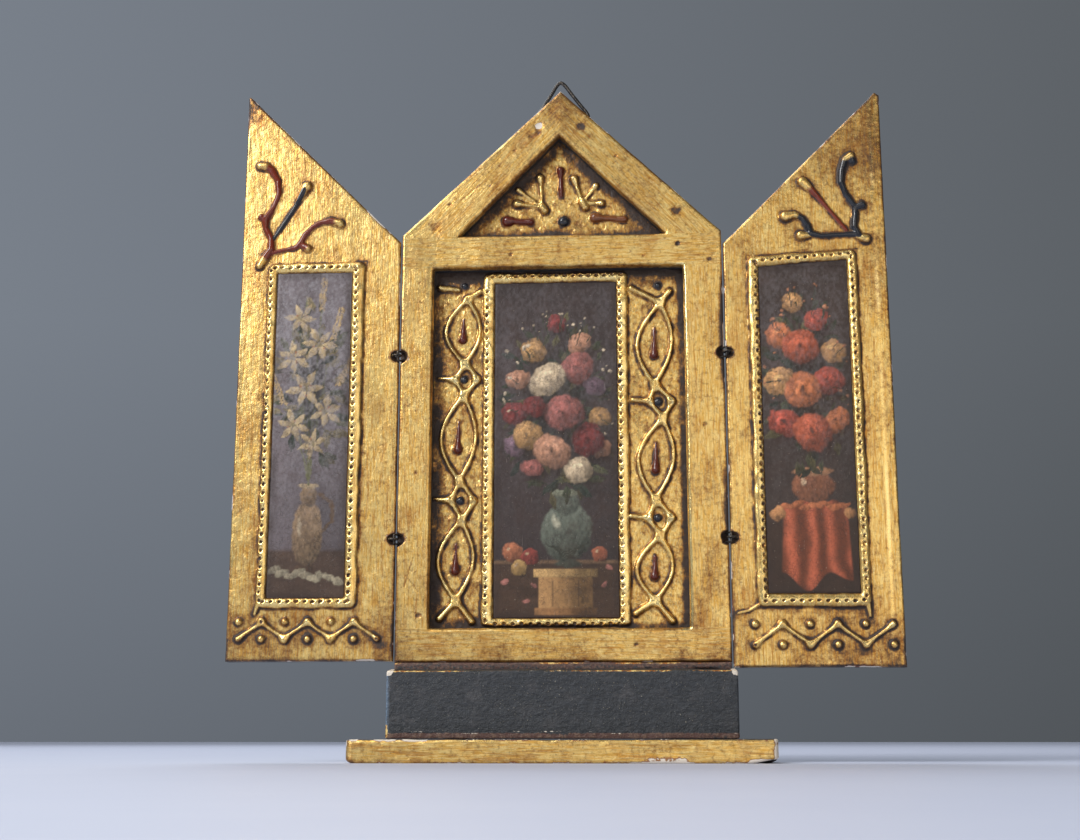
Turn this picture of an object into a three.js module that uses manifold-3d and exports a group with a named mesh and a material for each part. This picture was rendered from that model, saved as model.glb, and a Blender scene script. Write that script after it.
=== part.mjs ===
// A folding devotional triptych: a gabled panel on a plinth, with two half-gabled wings on wire hinges.
// Millimetres. X runs to the viewer's right, Y to the back and Z up. The origin is the middle of the
// foot board's underside. Flat pieces are drawn from the front, with x to the right, y up and z towards
// the viewer, and are then stood up.
import * as THREE from "three";
import { mergeVertices, toCreasedNormals } from "three/addons/utils/BufferGeometryUtils.js";
import Module from "manifold-3d";

const wasm = await Module();
wasm.setup();

// ---- Driving dimensions ----

const FOOT = { width: 172, depth: 38, height: 9.5, corner: 3 };
const PLINTH = { width: 143, front: -8.5, arris: 36.9, filletFoot: 37.9, filletFront: 1.5, top: 40.5 };
const PANEL = { width: 140, bottom: 40.5, shoulder: 186.5, peak: 253.5, front: 2, back: 19 };
const FRAME_THICKNESS = 7;
const RECESS = { left: -55.8, right: 53, bottom: 54.8, top: 211.5 };
const GABLE_RECESS = { left: -44.8, right: 45.6, bottom: 226.4, peak: 272.6 };
const WING = { width: 69.5, shoulder: 184, tip: 254, thickness: 8 };
const HINGE = { axisX: 70.9, axisY: 0.7, heights: { lower: 92, upper: 172 } };
const HANGER = { peakX: -0.6, peak: 306.3, foot: 288.2, halfWidth: 13.5, bend: 2.5, wireRadius: 0.8 };
const EDGE_BEVEL = 0.5;
const FIT_GAP = 0.3;
const PICTURE_THICKNESS = 0.5;

const WING_EDGE_X = 2 * HINGE.axisX - PANEL.width / 2;
const RECESS_FLOOR_Y = PANEL.front + FRAME_THICKNESS;
const PANEL_PEAK_Z = PANEL.bottom + PANEL.peak;

// Raised gesso lines. Their middles lie on the ground, so a line stands as high as its radius.
const STRAND_RADIUS = 1.3;
const BRANCH_RADIUS = 1.6;
const ZIGZAG_RADIUS = 1.2;
const STUD_RADIUS = 1.7;
const KNOB_RADIUS = 2.1;
const BORDER = { height: 1.6, bevel: 0.6 };

// ---- Solids ----

// A closed geometry as a manifold-3d solid.
function solid(geometry) {
  const plain = geometry.index ? geometry.toNonIndexed() : geometry.clone();
  plain.deleteAttribute("normal");
  plain.deleteAttribute("uv");
  const merged = mergeVertices(plain, 1e-4);
  const triVerts = [];
  for (let i = 0; i < merged.index.count; i += 3) {
    const [a, b, c] = [0, 1, 2].map((k) => merged.index.getX(i + k));
    if (a !== b && b !== c && c !== a) triVerts.push(a, b, c);
  }
  return new wasm.Manifold(
    new wasm.Mesh({
      numProp: 3,
      vertProperties: merged.attributes.position.array,
      triVerts: new Uint32Array(triVerts),
    }),
  );
}

function geometryOf(manifold) {
  const { vertProperties, triVerts } = manifold.getMesh();
  const geometry = new THREE.BufferGeometry();
  geometry.setAttribute("position", new THREE.BufferAttribute(vertProperties, 3));
  geometry.setIndex(new THREE.BufferAttribute(triVerts, 1));
  return geometry;
}

const joined = (first, others) => others.reduce((sum, other) => sum.add(other), first);
const cut = (first, others) => others.reduce((rest, other) => rest.subtract(other), first);

// Turns a solid drawn from the front upright, so that z towards the viewer becomes -Y.
const stoodUp = (manifold) => solid(geometryOf(manifold).rotateX(Math.PI / 2));

function shapeOf(points) {
  return new THREE.Shape(points.map(([x, y]) => new THREE.Vector2(x, y)));
}

// An extruded shape between z = back and z = front, with its arrises taken off.
function slab(shape, back, front, bevel = EDGE_BEVEL) {
  const geometry = new THREE.ExtrudeGeometry(shape, {
    depth: front - back - 2 * bevel,
    bevelEnabled: bevel > 0,
    bevelThickness: bevel,
    bevelSize: bevel,
    bevelOffset: -bevel,
    bevelSegments: 1,
    curveSegments: 4,
  });
  return solid(geometry.translate(0, 0, back + bevel));
}

const roundSection = (radius, sides) =>
  new THREE.Shape(
    Array.from({ length: sides }, (_, i) => {
      const angle = ((i + 0.5) / sides) * 2 * Math.PI;
      return new THREE.Vector2(radius * Math.cos(angle), radius * Math.sin(angle));
    }),
  );

// A round rod along a smooth curve through 3D points.
function rod(points, radius, steps, sides = 6, closed = false) {
  const vectors = points.map((p) => new THREE.Vector3(...p));
  const path = new THREE.CatmullRomCurve3(vectors, closed, "centripetal");
  const section = roundSection(radius, sides);
  return solid(new THREE.ExtrudeGeometry(section, { extrudePath: path, steps, bevelEnabled: false }));
}

// ---- Gesso relief, drawn on the ground z = 0 ----

const line = (points, radius, steps = 2 * (points.length - 1)) =>
  rod(points.map(([x, y]) => [x, y, 0]), radius, steps);

function stud([x, y], radius, flatness = 0.8) {
  const dome = new THREE.SphereGeometry(radius, 8, 5).rotateX(Math.PI / 2);
  return solid(dome.scale(1, 1, flatness).translate(x, y, 0));
}

// A drop with a slim neck at `from` and a round bulb that ends at `to`.
function drop(from, to, radius) {
  const neck = 0.6 * radius;
  const bulb = 1.3 * radius;
  const start = new THREE.Vector2(...from);
  const along = new THREE.Vector2(...to).sub(start);
  const length = along.length();
  const profile = [
    [0, 0],
    [neck, 0.1 * length],
    [neck, 0.4 * length],
    [radius, length - bulb],
    [0.75 * radius, length - 0.3 * bulb],
    [0, length],
  ].map(([r, reach]) => new THREE.Vector2(r, -reach));
  const body = new THREE.LatheGeometry(profile.reverse(), 7);
  body.rotateZ(along.angle() + Math.PI / 2);
  return solid(body.translate(start.x, start.y, 0));
}

// A raised border round a picture: a flat band with its upper arrises taken off.
function border({ outer, inner }) {
  const ring = shapeOf(outer);
  ring.holes.push(new THREE.Path(inner.map(([x, y]) => new THREE.Vector2(x, y))));
  return slab(ring, -BORDER.height, BORDER.height, BORDER.bevel);
}

// The corners of an upright rectangle whose top edge rises by `rise` from left to right.
const rectangle = (left, right, bottom, top, rise = 0) => [
  [left, bottom],
  [right, bottom],
  [right, top + rise],
  [left, top],
];

// ---- The panel ----

function gableOutline({ width, bottom, shoulder, peak }) {
  const half = width / 2;
  return [
    [-half, bottom],
    [half, bottom],
    [half, bottom + shoulder],
    [0, bottom + peak],
    [-half, bottom + shoulder],
  ];
}

const PICTURE = { left: -29.3, right: 23.9, bottom: 59.3, top: 206.1 };
const CENTRE_BORDER = {
  outer: rectangle(-34.9, 29.3, 55.4, 211),
  inner: rectangle(PICTURE.left, PICTURE.right, PICTURE.bottom, PICTURE.top),
};

// The two strands of a column cross at these points, from the top down. Almond loops, each round a
// drop, and small diamonds, each round a stud, take turns between them.
const COLUMNS = [
  {
    crossings: [
      [-41.5, 199], [-42.4, 169.7], [-42.8, 155.7],
      [-44.3, 117.9], [-43.2, 100.9], [-45.2, 66.7],
    ],
    heads: [[-53.3, 204.4], [-36, 202.3]],
    feet: [[-52, 59], [-38.3, 57.9]],
    topStud: [-42.8, 205.3],
  },
  {
    crossings: [
      [43.1, 196.3], [40.1, 159.4], [43.3, 144.6],
      [39.8, 109.2], [41.5, 93.5], [39.1, 66.3],
    ],
    heads: [[30, 203.2], [46.2, 200.4]],
    feet: [[30.8, 61.1], [46.1, 57.8]],
    topStud: [42.3, 204.2],
  },
];
// How far the strands bulge, and the diamonds' arms reach, to the left and to the right of the middle.
const COLUMN_SIDES = [
  { way: -1, almond: 8.8, diamond: 4.6, arm: 10.6 },
  { way: 1, almond: 6.2, diamond: 4.2, arm: 7.9 },
];
const COLUMN_DROP = { share: 0.37, radius: 1.6 };

// One strand from a crossing to the next, bulging to `bulge` half way.
function strand(from, to, bulge, steps) {
  const points = Array.from({ length: 7 }, (_, i) => {
    const t = i / 6;
    const sway = bulge * Math.sin(Math.PI * t);
    return [from[0] + (to[0] - from[0]) * t + sway, from[1] + (to[1] - from[1]) * t];
  });
  return line(points, STRAND_RADIUS, steps);
}

function almondLoop(high, low) {
  const [left, right] = COLUMN_SIDES;
  const x = (high[0] + low[0] + right.almond - left.almond) / 2;
  const middle = (high[1] + low[1]) / 2;
  const half = (COLUMN_DROP.share * (high[1] - low[1])) / 2;
  return [
    ...COLUMN_SIDES.map(({ way, almond }) => strand(high, low, way * almond, 9)),
    drop([x, middle + half], [x, middle - half], COLUMN_DROP.radius),
  ];
}

function smallDiamond(high, low) {
  const [x, y] = [(high[0] + low[0]) / 2, (high[1] + low[1]) / 2];
  return COLUMN_SIDES.flatMap(({ way, diamond, arm }) => [
    strand(high, low, way * diamond, 4),
    line([[x + way * diamond, y], [x + way * arm, y]], STRAND_RADIUS, 1),
  ]).concat(stud([x, y], STUD_RADIUS));
}

function columnRelief({ crossings, heads, feet, topStud }) {
  const links = crossings.slice(1).flatMap((low, i) => (i % 2 ? smallDiamond : almondLoop)(crossings[i], low));
  const lowest = crossings[crossings.length - 1];
  return [
    ...links,
    ...heads.map((end) => line([crossings[0], end], STRAND_RADIUS, 1)),
    ...feet.map((end) => line([lowest, end], STRAND_RADIUS, 1)),
    ...feet.map((end) => stud(end, STUD_RADIUS)),
    stud(topStud, STUD_RADIUS),
  ];
}

const GABLE_DROP_RADIUS = 1.8;

// A spray of drops round a stud in the gable, with two three-branched twigs.
function gableRelief() {
  const twigs = [
    { root: [-8.7, 242.4], tips: [[-9.2, 256.5], [-20, 250.7], [-21, 244.2]] },
    { root: [9.2, 243.1], tips: [[6.2, 255.6], [15.6, 252.2], [18.9, 243]] },
  ];
  return [
    ...twigs.flatMap(({ root, tips }) => tips.map((tip) => drop(root, tip, GABLE_DROP_RADIUS))),
    ...twigs.map(({ root }) => stud(root, STUD_RADIUS)),
    drop([0, 245.2], [-0.4, 260], GABLE_DROP_RADIUS),
    drop([-12.2, 234.3], [-26, 235.2], GABLE_DROP_RADIUS),
    drop([27.8, 234.7], [13, 236.2], GABLE_DROP_RADIUS),
    stud([1, 234.6], 2.5),
  ];
}

function backBoard() {
  const thickness = PANEL.back - RECESS_FLOOR_Y;
  const board = slab(shapeOf(gableOutline(PANEL)), -thickness, 0);
  const relief = [border(CENTRE_BORDER), ...COLUMNS.flatMap(columnRelief), ...gableRelief()];
  const panel = stoodUp(joined(board, relief)).translate([0, RECESS_FLOOR_Y, 0]);
  return panel.subtract(hangerStaple(HANGER_STAPLE.wireRadius + FIT_GAP, FIT_GAP));
}

function gableFrame() {
  const { left, right, bottom, top } = RECESS;
  const outline = shapeOf(gableOutline(PANEL));
  const gableHole = [
    [GABLE_RECESS.left, GABLE_RECESS.bottom],
    [GABLE_RECESS.right, GABLE_RECESS.bottom],
    [-0.6, GABLE_RECESS.peak],
  ];
  for (const hole of [rectangle(left, right, bottom, top), gableHole]) {
    outline.holes.push(new THREE.Path(hole.map(([x, y]) => new THREE.Vector2(x, y))));
  }
  const frame = stoodUp(slab(outline, -FRAME_THICKNESS, 0)).translate([0, PANEL.front, 0]);
  return cut(frame, [...hingePockets(-1, "panel"), ...hingePockets(1, "panel")]);
}

// ---- The wings, drawn with u from the hinge edge outwards and v from the wing's own bottom up ----

const WINGS = {
  left: {
    side: -1,
    bottom: 41.1,
    picture: { near: 20, far: 53, bottom: 26.4, top: 169, rise: 0 },
    band: { near: 6, far: 4.6, bottom: 4.9, top: 5 },
    root: [58.8, 176.7],
    branches: [
      [
        [58.8, 176.7], [55.8, 181], [58.4, 190.9], [60.8, 196.5],
        [56.2, 203.4], [54.6, 210.1], [57.6, 216.4], [62.4, 220.4],
      ],
      [[55.6, 184.6], [48.2, 197.4], [41.2, 208.8]],
      [[56, 180], [48.5, 180.8], [40.6, 182], [40.9, 186.9], [37, 192], [30.6, 193.3], [25.1, 190.8]],
    ],
    knobs: [[62.8, 196.4], [39.4, 180]],
    zigzag: { start: 64.2, pitch: -9.77, count: 7, studs: 6, low: 9.2, high: 16.4 },
  },
  right: {
    side: 1,
    bottom: 38.2,
    picture: { near: 13.7, far: 51.8, bottom: 30.2, top: 171.7, rise: 2.6 },
    band: { near: 4.9, far: 4.8, bottom: 6, top: 4.9 },
    root: [57.8, 184.8],
    branches: [
      [
        [57.8, 184.8], [55.4, 189], [56.5, 196.4], [53.1, 204.2],
        [50.7, 211.1], [51.9, 219.9], [55.9, 222.9],
      ],
      [[52.6, 187], [43.8, 198.6], [34.1, 209.5]],
      [[55.4, 186], [43.3, 186], [36.4, 186.6], [35.3, 191], [31.8, 194.4], [24.5, 194.6]],
    ],
    knobs: [[59.5, 199.3], [31.4, 185.7]],
    zigzag: { start: 7.9, pitch: 11.3, count: 6, studs: 6, low: 9.1, high: 17.6 },
  },
};

// A zigzag line whose turns lie `pitch` apart, with a stud in the mouth of each of the first turns.
function zigzagRelief({ start, pitch, count, studs, low, high }) {
  const turns = Array.from({ length: count }, (_, i) => [start + i * pitch, i % 2 ? high : low]);
  return [
    ...turns.slice(1).map((turn, i) => line([turns[i], turn], ZIGZAG_RADIUS, 1)),
    ...turns.map((turn) => stud(turn, ZIGZAG_RADIUS, 1)),
    ...turns.slice(0, studs).map(([x, y]) => stud([x, low + high - y], STUD_RADIUS)),
  ];
}

function wingRelief({ picture, band, branches, knobs, root, zigzag }) {
  const { near, far, bottom, top, rise } = picture;
  const frame = border({
    outer: rectangle(near - band.near, far + band.far, bottom - band.bottom, top + band.top, rise),
    inner: rectangle(near, far, bottom, top, rise),
  });
  const strokes = branches.map((points) => line(points, BRANCH_RADIUS));
  const ends = [root, ...knobs, ...branches.map((points) => points[points.length - 1])];
  return [frame, ...strokes, ...ends.map((end) => stud(end, KNOB_RADIUS)), ...zigzagRelief(zigzag)];
}

// Drawn u and v become x and y on the wing's own side of the panel. A left wing is mirrored.
function placedOnSide(manifold, { side, bottom }) {
  const mirrored = side < 0 ? manifold.mirror([1, 0, 0]) : manifold;
  return mirrored.translate([side * WING_EDGE_X, bottom, 0]);
}

function wing(spec) {
  const { width, shoulder, tip, thickness } = WING;
  const outline = shapeOf([[0, 0], [width, 0], [width, tip], [0, shoulder]]);
  const board = joined(slab(outline, -thickness, 0), wingRelief(spec));
  const placed = stoodUp(placedOnSide(board, spec)).translate([0, PANEL.front, 0]);
  return cut(placed, hingePockets(spec.side, "wing"));
}

function pictureCard(corners) {
  return slab(shapeOf(corners), 0, PICTURE_THICKNESS, 0);
}

function centrePicture() {
  const { left, right, bottom, top } = PICTURE;
  const card = rectangle(left + FIT_GAP, right - FIT_GAP, bottom + FIT_GAP, top - FIT_GAP);
  return stoodUp(pictureCard(card)).translate([0, RECESS_FLOOR_Y, 0]);
}

function wingPicture(spec) {
  const { near, far, bottom, top, rise } = spec.picture;
  const card = rectangle(near + FIT_GAP, far - FIT_GAP, bottom + FIT_GAP, top - FIT_GAP, rise);
  return stoodUp(placedOnSide(pictureCard(card), spec)).translate([0, PANEL.front, 0]);
}

// ---- Wire hinges: a staple in the panel's edge, and a ring on the wing that goes round its crown ----

const WIRE_RADIUS = 0.45;
const STAPLE = { halfSpan: 1.9, bend: 0.9, legLength: 6.6 };
const RING = { radius: 1.75, offset: 0.6, legLength: 7 };
const DRILL_RADIUS = 0.95;
// Round dents in the arrises, which give the wires room to turn.
const DENTS = { panel: { radius: 4.4, halfHeight: 3.4 }, wing: { radius: 3.4, halfHeight: 2.7 } };

// The way from the hinge axis to the front arris of the piece that the wire is driven into.
function inwards(side, part) {
  const towardsPiece = part === "panel" ? -side : side;
  const across = HINGE.axisX - PANEL.width / 2;
  return new THREE.Vector2(towardsPiece * across, PANEL.front - HINGE.axisY).normalize();
}

// A point at `distance` from the axis along `way`, at height z.
const fromAxis = (side, way, distance, z) => [
  side * HINGE.axisX + way.x * distance,
  HINGE.axisY + way.y * distance,
  z,
];

// The dents and the drilled holes for the wires' legs, to be cut from a piece.
function hingePockets(side, part) {
  const way = inwards(side, part);
  const legHeights = part === "panel" ? [-STAPLE.halfSpan, STAPLE.halfSpan] : [0];
  const legLength = part === "panel" ? STAPLE.legLength : RING.legLength;
  const { radius, halfHeight } = DENTS[part];
  return Object.values(HINGE.heights).flatMap((z) => {
    const dent = new THREE.SphereGeometry(1, 10, 6).rotateX(Math.PI / 2);
    dent.scale(radius, radius, halfHeight).translate(side * HINGE.axisX, HINGE.axisY, z);
    const holes = legHeights.map((dz) => {
      const [mouth, end] = [0.5, legLength + FIT_GAP].map((reach) => fromAxis(side, way, reach, z + dz));
      return rod([mouth, end], DRILL_RADIUS, 1);
    });
    return [solid(dent), ...holes];
  });
}

function hingeStaple(side, z) {
  const way = inwards(side, "panel");
  const { halfSpan, bend, legLength } = STAPLE;
  const halfRoute = [[legLength, halfSpan], [0.3, halfSpan], [0, halfSpan - bend]];
  const upper = halfRoute.map(([reach, dz]) => fromAxis(side, way, reach, z + dz));
  const lower = halfRoute.map(([reach, dz]) => fromAxis(side, way, reach, z - dz));
  return rod([...upper, ...lower.reverse()], WIRE_RADIUS, 14);
}

function hingeRing(side, z) {
  const way = inwards(side, "wing");
  const ring = new THREE.TorusGeometry(RING.radius, WIRE_RADIUS, 6, 12);
  const [x, y] = fromAxis(side, way, RING.offset, z);
  const leg = rod(
    [fromAxis(side, way, RING.offset + RING.radius, z), fromAxis(side, way, RING.legLength, z)],
    WIRE_RADIUS,
    1,
  );
  return solid(ring.translate(x, y, z)).add(leg);
}

// ---- Hanger: a triangular wire ring, held flat against the gable's back by a staple ----

const HANGER_Y = PANEL.back + FIT_GAP + HANGER.wireRadius;
const HANGER_STAPLE = { wireRadius: 0.6, halfSpan: 2.1, legLength: 6 };

// A closed wire round `corners`, each of which is rounded over a length of `bend` on both sides.
function bentRing(corners, bend, radius, steps) {
  const count = corners.length;
  const points = corners.flatMap((corner, i) => {
    const neighbours = [corners[(i + count - 1) % count], corners[(i + 1) % count]];
    const [start, end] = neighbours.map((n) => corner.clone().add(n.clone().sub(corner).setLength(bend)));
    const middle = start.clone().add(end).multiplyScalar(0.5).lerp(corner, 0.4);
    return [start, middle, end];
  });
  return rod(points.map((p) => p.toArray()), radius, steps, 6, true);
}

function hangerRing() {
  const { peakX, peak, foot, halfWidth, bend, wireRadius } = HANGER;
  const corners = [[peakX, peak + 0.35 * bend], [halfWidth, foot], [-halfWidth, foot]];
  return bentRing(corners.map(([x, z]) => new THREE.Vector3(x, HANGER_Y, z)), bend, wireRadius, 46);
}

function hangerStaple(radius = HANGER_STAPLE.wireRadius, extra = 0) {
  const { halfSpan, legLength } = HANGER_STAPLE;
  const crown = HANGER_Y + HANGER.wireRadius + FIT_GAP + HANGER_STAPLE.wireRadius;
  const route = [
    [PANEL.back - legLength - extra, halfSpan],
    [crown - 1, halfSpan],
    [crown, halfSpan - 1],
    [crown, 1 - halfSpan],
    [crown - 1, -halfSpan],
    [PANEL.back - legLength - extra, -halfSpan],
  ];
  return rod(route.map(([y, dz]) => [0, y, HANGER.foot + dz]), radius, 14);
}

// ---- Foot and plinth ----

function footBoard() {
  const { width, depth, height, corner } = FOOT;
  const [x, y] = [width / 2, depth / 2];
  const outline = new THREE.Shape();
  outline.moveTo(x, y);
  outline.lineTo(-x, y);
  outline.absarc(-x + corner, -y + corner, corner, Math.PI, 1.5 * Math.PI);
  outline.absarc(x - corner, -y + corner, corner, 1.5 * Math.PI, 2 * Math.PI);
  return slab(outline, 0, height);
}

// A bar along X. The points of its section are [y, z].
function bar(section, width) {
  const geometry = new THREE.ExtrudeGeometry(shapeOf(section), { depth: width, bevelEnabled: false });
  const [xAxis, yAxis, zAxis] = [0, 1, 2].map((i) => new THREE.Vector3().setComponent(i, 1));
  geometry.applyMatrix4(new THREE.Matrix4().makeBasis(yAxis, zAxis, xAxis));
  return solid(geometry.translate(-width / 2, 0, 0));
}

function plinthBlock() {
  const { front, arris, filletFoot, filletFront, top, width } = PLINTH;
  const block = bar(
    [
      [front, FOOT.height],
      [PANEL.back, FOOT.height],
      [PANEL.back, filletFoot],
      [filletFront, filletFoot],
      [front + 0.6, arris],
      [front, arris - 0.6],
    ],
    width,
  );
  const fillet = bar(
    [
      [filletFront, filletFoot - 1],
      [PANEL.back, filletFoot - 1],
      [PANEL.back, top],
      [filletFront, top],
    ],
    PANEL.width,
  );
  return block.add(fillet);
}

// ---- Assembly ----

const GILDING = new THREE.MeshStandardMaterial({ color: 0xb98f3c, roughness: 0.45, metalness: 0.85 });
const DARK_PAINT = new THREE.MeshStandardMaterial({ color: 0x23272b, roughness: 0.7, metalness: 0 });
const PRINT = new THREE.MeshStandardMaterial({ color: 0x4a3b38, roughness: 0.5, metalness: 0 });
const IRON_WIRE = new THREE.MeshStandardMaterial({ color: 0x2b2a29, roughness: 0.5, metalness: 0.8 });

const CREASE_ANGLE = Math.PI / 5;
const triptych = new THREE.Group();

function place(group, name, material, manifold) {
  const mesh = new THREE.Mesh(toCreasedNormals(geometryOf(manifold), CREASE_ANGLE), material);
  mesh.name = name;
  group.add(mesh);
}

const centre = new THREE.Group();
triptych.add(centre);
place(centre, "foot_board", GILDING, footBoard());
place(centre, "plinth_block", DARK_PAINT, plinthBlock());
place(centre, "back_board", GILDING, backBoard());
place(centre, "gable_frame", GILDING, gableFrame());
place(centre, "centre_picture", PRINT, centrePicture());
place(centre, "hanger_ring", IRON_WIRE, hangerRing());
place(centre, "hanger_staple", IRON_WIRE, hangerStaple());

for (const [name, spec] of Object.entries(WINGS)) {
  const group = new THREE.Group();
  triptych.add(group);
  place(group, `${name}_wing`, GILDING, wing(spec));
  place(group, `${name}_picture`, PRINT, wingPicture(spec));
  for (const [level, z] of Object.entries(HINGE.heights)) {
    place(group, `${name}_${level}_ring`, IRON_WIRE, hingeRing(spec.side, z));
    place(centre, `${name}_${level}_staple`, IRON_WIRE, hingeStaple(spec.side, z));
  }
}

export default triptych;
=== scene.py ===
"""A gilded folding triptych: gabled panel on a dark plinth, two half-gabled wings, gesso relief.

Shapes are worked out in millimetres, seen from the front, and stored in metres."""
import math

import bpy
import numpy as np
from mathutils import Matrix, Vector
from mathutils.geometry import tessellate_polygon


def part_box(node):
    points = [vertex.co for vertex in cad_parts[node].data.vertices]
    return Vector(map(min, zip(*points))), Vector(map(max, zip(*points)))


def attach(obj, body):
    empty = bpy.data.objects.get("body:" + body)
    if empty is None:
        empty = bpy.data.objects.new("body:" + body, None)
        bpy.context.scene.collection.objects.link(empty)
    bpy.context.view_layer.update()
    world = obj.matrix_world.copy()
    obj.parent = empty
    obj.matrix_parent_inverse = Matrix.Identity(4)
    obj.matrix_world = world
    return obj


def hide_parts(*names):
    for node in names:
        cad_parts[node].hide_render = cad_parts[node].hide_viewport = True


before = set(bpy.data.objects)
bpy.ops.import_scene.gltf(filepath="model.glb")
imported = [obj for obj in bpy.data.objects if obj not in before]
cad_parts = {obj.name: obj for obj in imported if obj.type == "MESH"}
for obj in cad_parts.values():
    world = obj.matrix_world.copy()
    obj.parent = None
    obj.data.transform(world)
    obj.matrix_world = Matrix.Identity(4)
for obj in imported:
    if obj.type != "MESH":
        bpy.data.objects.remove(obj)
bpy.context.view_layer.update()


# ---- Small numeric tools ----


def box_mm(node):
    return [np.array(corner) * 1000 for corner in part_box(node)]


def unit(values):
    return np.clip(values, 0, 1)


def smooth(t):
    t = unit(t)
    return t * t * (3 - 2 * t)


def fade(distance, near, far):
    """1 up to near, falling to 0 at far."""
    return 1 - smooth((distance - near) / (far - near))


def band(offset, near, far):
    """1 up to near to either side of a line, falling to 0 at far."""
    return fade(np.abs(offset), near, far)


def spot(dx, dz, near, far):
    """1 up to near round a place, falling to 0 at far."""
    return fade(np.hypot(dx, dz), near, far)


def mix(a, b, t):
    return a + (b - a) * t


def noise(x, z, size, seed, octaves=1):
    """Smooth noise from about -1 to 1, with blobs `size` mm across (a pair is across x and z)."""
    size_x, size_z = size if isinstance(size, tuple) else (size, size)
    total, weight = 0, 0
    for k in range(octaves):
        table = np.random.RandomState(seed + 31 * k).uniform(-1, 1, (128, 128))
        u, v = x / size_x * 2**k + 11.7 * k, z / size_z * 2**k + 5.3 * k
        i, j = np.floor(u).astype(int), np.floor(v).astype(int)
        fu, fv = smooth(u - i), smooth(v - j)
        low = mix(table[i % 128, j % 128], table[(i + 1) % 128, j % 128], fu)
        high = mix(table[i % 128, (j + 1) % 128], table[(i + 1) % 128, (j + 1) % 128], fu)
        total = total + mix(low, high, fv) / 2**k
        weight += 1 / 2**k
    return total / weight * 1.4


def noise_at(x, z, seeds=0):
    """Noise at fixed points, as a function of size, seed and octaves."""
    return lambda size, seed, octaves=1: noise(x, z, size, seeds + seed, octaves)


def sides_of(corners):
    return list(zip(corners, [*corners[1:], corners[0]]))


def to_segments(points, corners, closed=True):
    """Distance from each point to each side of an outline: an array of shape (sides, points)."""
    found = []
    for a, b in sides_of(corners) if closed else zip(corners, corners[1:]):
        out, along = points - np.array(a, float), np.array(b, float) - a
        t = unit(out @ along / (along @ along))
        found.append(np.hypot(*(out - t[:, None] * along).T))
    return np.array(found)


def within(points, corners):
    """Whether each point is inside a convex outline given anticlockwise."""
    inside = np.ones(len(points), bool)
    for (ax, az), (bx, bz) in sides_of(corners):
        inside &= (bx - ax) * (points[:, 1] - az) > (bz - az) * (points[:, 0] - ax)
    return inside


def rounded_off(distance, radius):
    """How far a rounded arris falls back at a distance inside the outline."""
    inside = np.clip(radius - distance, 0, radius)
    return radius - np.sqrt(np.maximum(radius**2 - inside**2, 0))


def tone_of(wash_and_shade, rubbed_and_highlight=0.0, chips=0.0, depth=0.0):
    return np.column_stack(np.broadcast_arrays(wash_and_shade, rubbed_and_highlight, chips, depth))


# ---- Flat boards: a fine sheet of cells with walls and a back ----


def spaced(bands, end, marks=()):
    """Grid lines. Each band is (start, step), and there is a line at each mark."""
    lines = []
    for (start, step), stop in zip(bands, [b[0] for b in bands[1:]] + [end]):
        stops = sorted({start, stop, *(m for m in marks if start < m < stop)})
        for a, b in zip(stops, stops[1:]):
            lines.append(np.linspace(a, b, max(1, round((b - a) / step)) + 1)[:-1])
    return np.append(np.concatenate(lines), end)


def grid_faces(rows, columns, closed_rows=False, closed_columns=False):
    """Four-sided faces between the points of a grid, which may close on itself either way."""
    ids = np.arange(rows * columns).reshape(rows, columns)
    ids = np.pad(ids, ((0, int(closed_rows)), (0, int(closed_columns))), "wrap")
    return np.stack([ids[:-1, :-1], ids[:-1, 1:], ids[1:, 1:], ids[1:, :-1]], -1).reshape(-1, 4)


def sheet_of_cells(xs, zs, slants, inside):
    """Cells between grid lines, split along the slanted edges, that `inside` keeps."""
    grid_x, grid_z = np.meshgrid(xs, zs)
    points = np.column_stack([grid_x.ravel(), grid_z.ravel()])
    quads = grid_faces(len(zs), len(xs))
    whole = np.ones(len(quads), bool)
    added, parts, known = [], [], {}
    for p, q in np.array(slants, float):
        off = (points - p) @ np.array([q[1] - p[1], p[0] - q[0]]) / np.hypot(*(q - p))
        off[np.abs(off) < 1e-6] = 0
        corner, middle = off[quads], points[quads].mean(1)
        crossed = (corner.min(1) < 0) & (corner.max(1) > 0)
        crossed &= np.all((middle > np.minimum(p, q)) & (middle < np.maximum(p, q)), 1)
        for cell in quads[crossed]:
            below, above = [], []
            for a, b in zip(cell, np.roll(cell, -1)):
                if off[a] <= 0:
                    below.append(int(a))
                if off[a] >= 0:
                    above.append(int(a))
                if off[a] * off[b] < 0:
                    key = (min(a, b), max(a, b))
                    if key not in known:
                        known[key] = len(points) + len(added)
                        added.append(mix(points[a], points[b], off[a] / (off[a] - off[b])))
                    below.append(known[key])
                    above.append(known[key])
            parts += [below, above]
        whole &= ~crossed
    if added:
        points = np.vstack([points, added])
    quads = quads[whole]
    quads = quads[inside(points[quads].mean(1))]
    parts = [part for part in parts if inside(points[part].mean(0)[None])[0]]
    used = np.zeros(len(points), bool)
    for part in [quads, *parts]:
        used[part] = True
    renumbered = np.cumsum(used) - 1
    return points[used], renumbered[quads], [renumbered[part].tolist() for part in parts]


def rim_loops(quads, parts):
    """The sheet's open edges as closed loops, with the sheet on the left."""
    cells = [quads, *(np.array([part]) for part in parts)]
    edges = [np.stack([cell, np.roll(cell, -1, 1)], -1).reshape(-1, 2) for cell in cells]
    starts, ends = np.concatenate(edges).astype(np.int64).T
    size = starts.max() + 1
    is_open = ~np.isin(starts * size + ends, ends * size + starts)
    following = dict(zip(starts[is_open].tolist(), ends[is_open].tolist()))
    loops = []
    while following:
        at, loop = next(iter(following)), []
        while at in following:
            loop.append(at)
            at = following.pop(at)
        loops.append(loop)
    return loops


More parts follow.
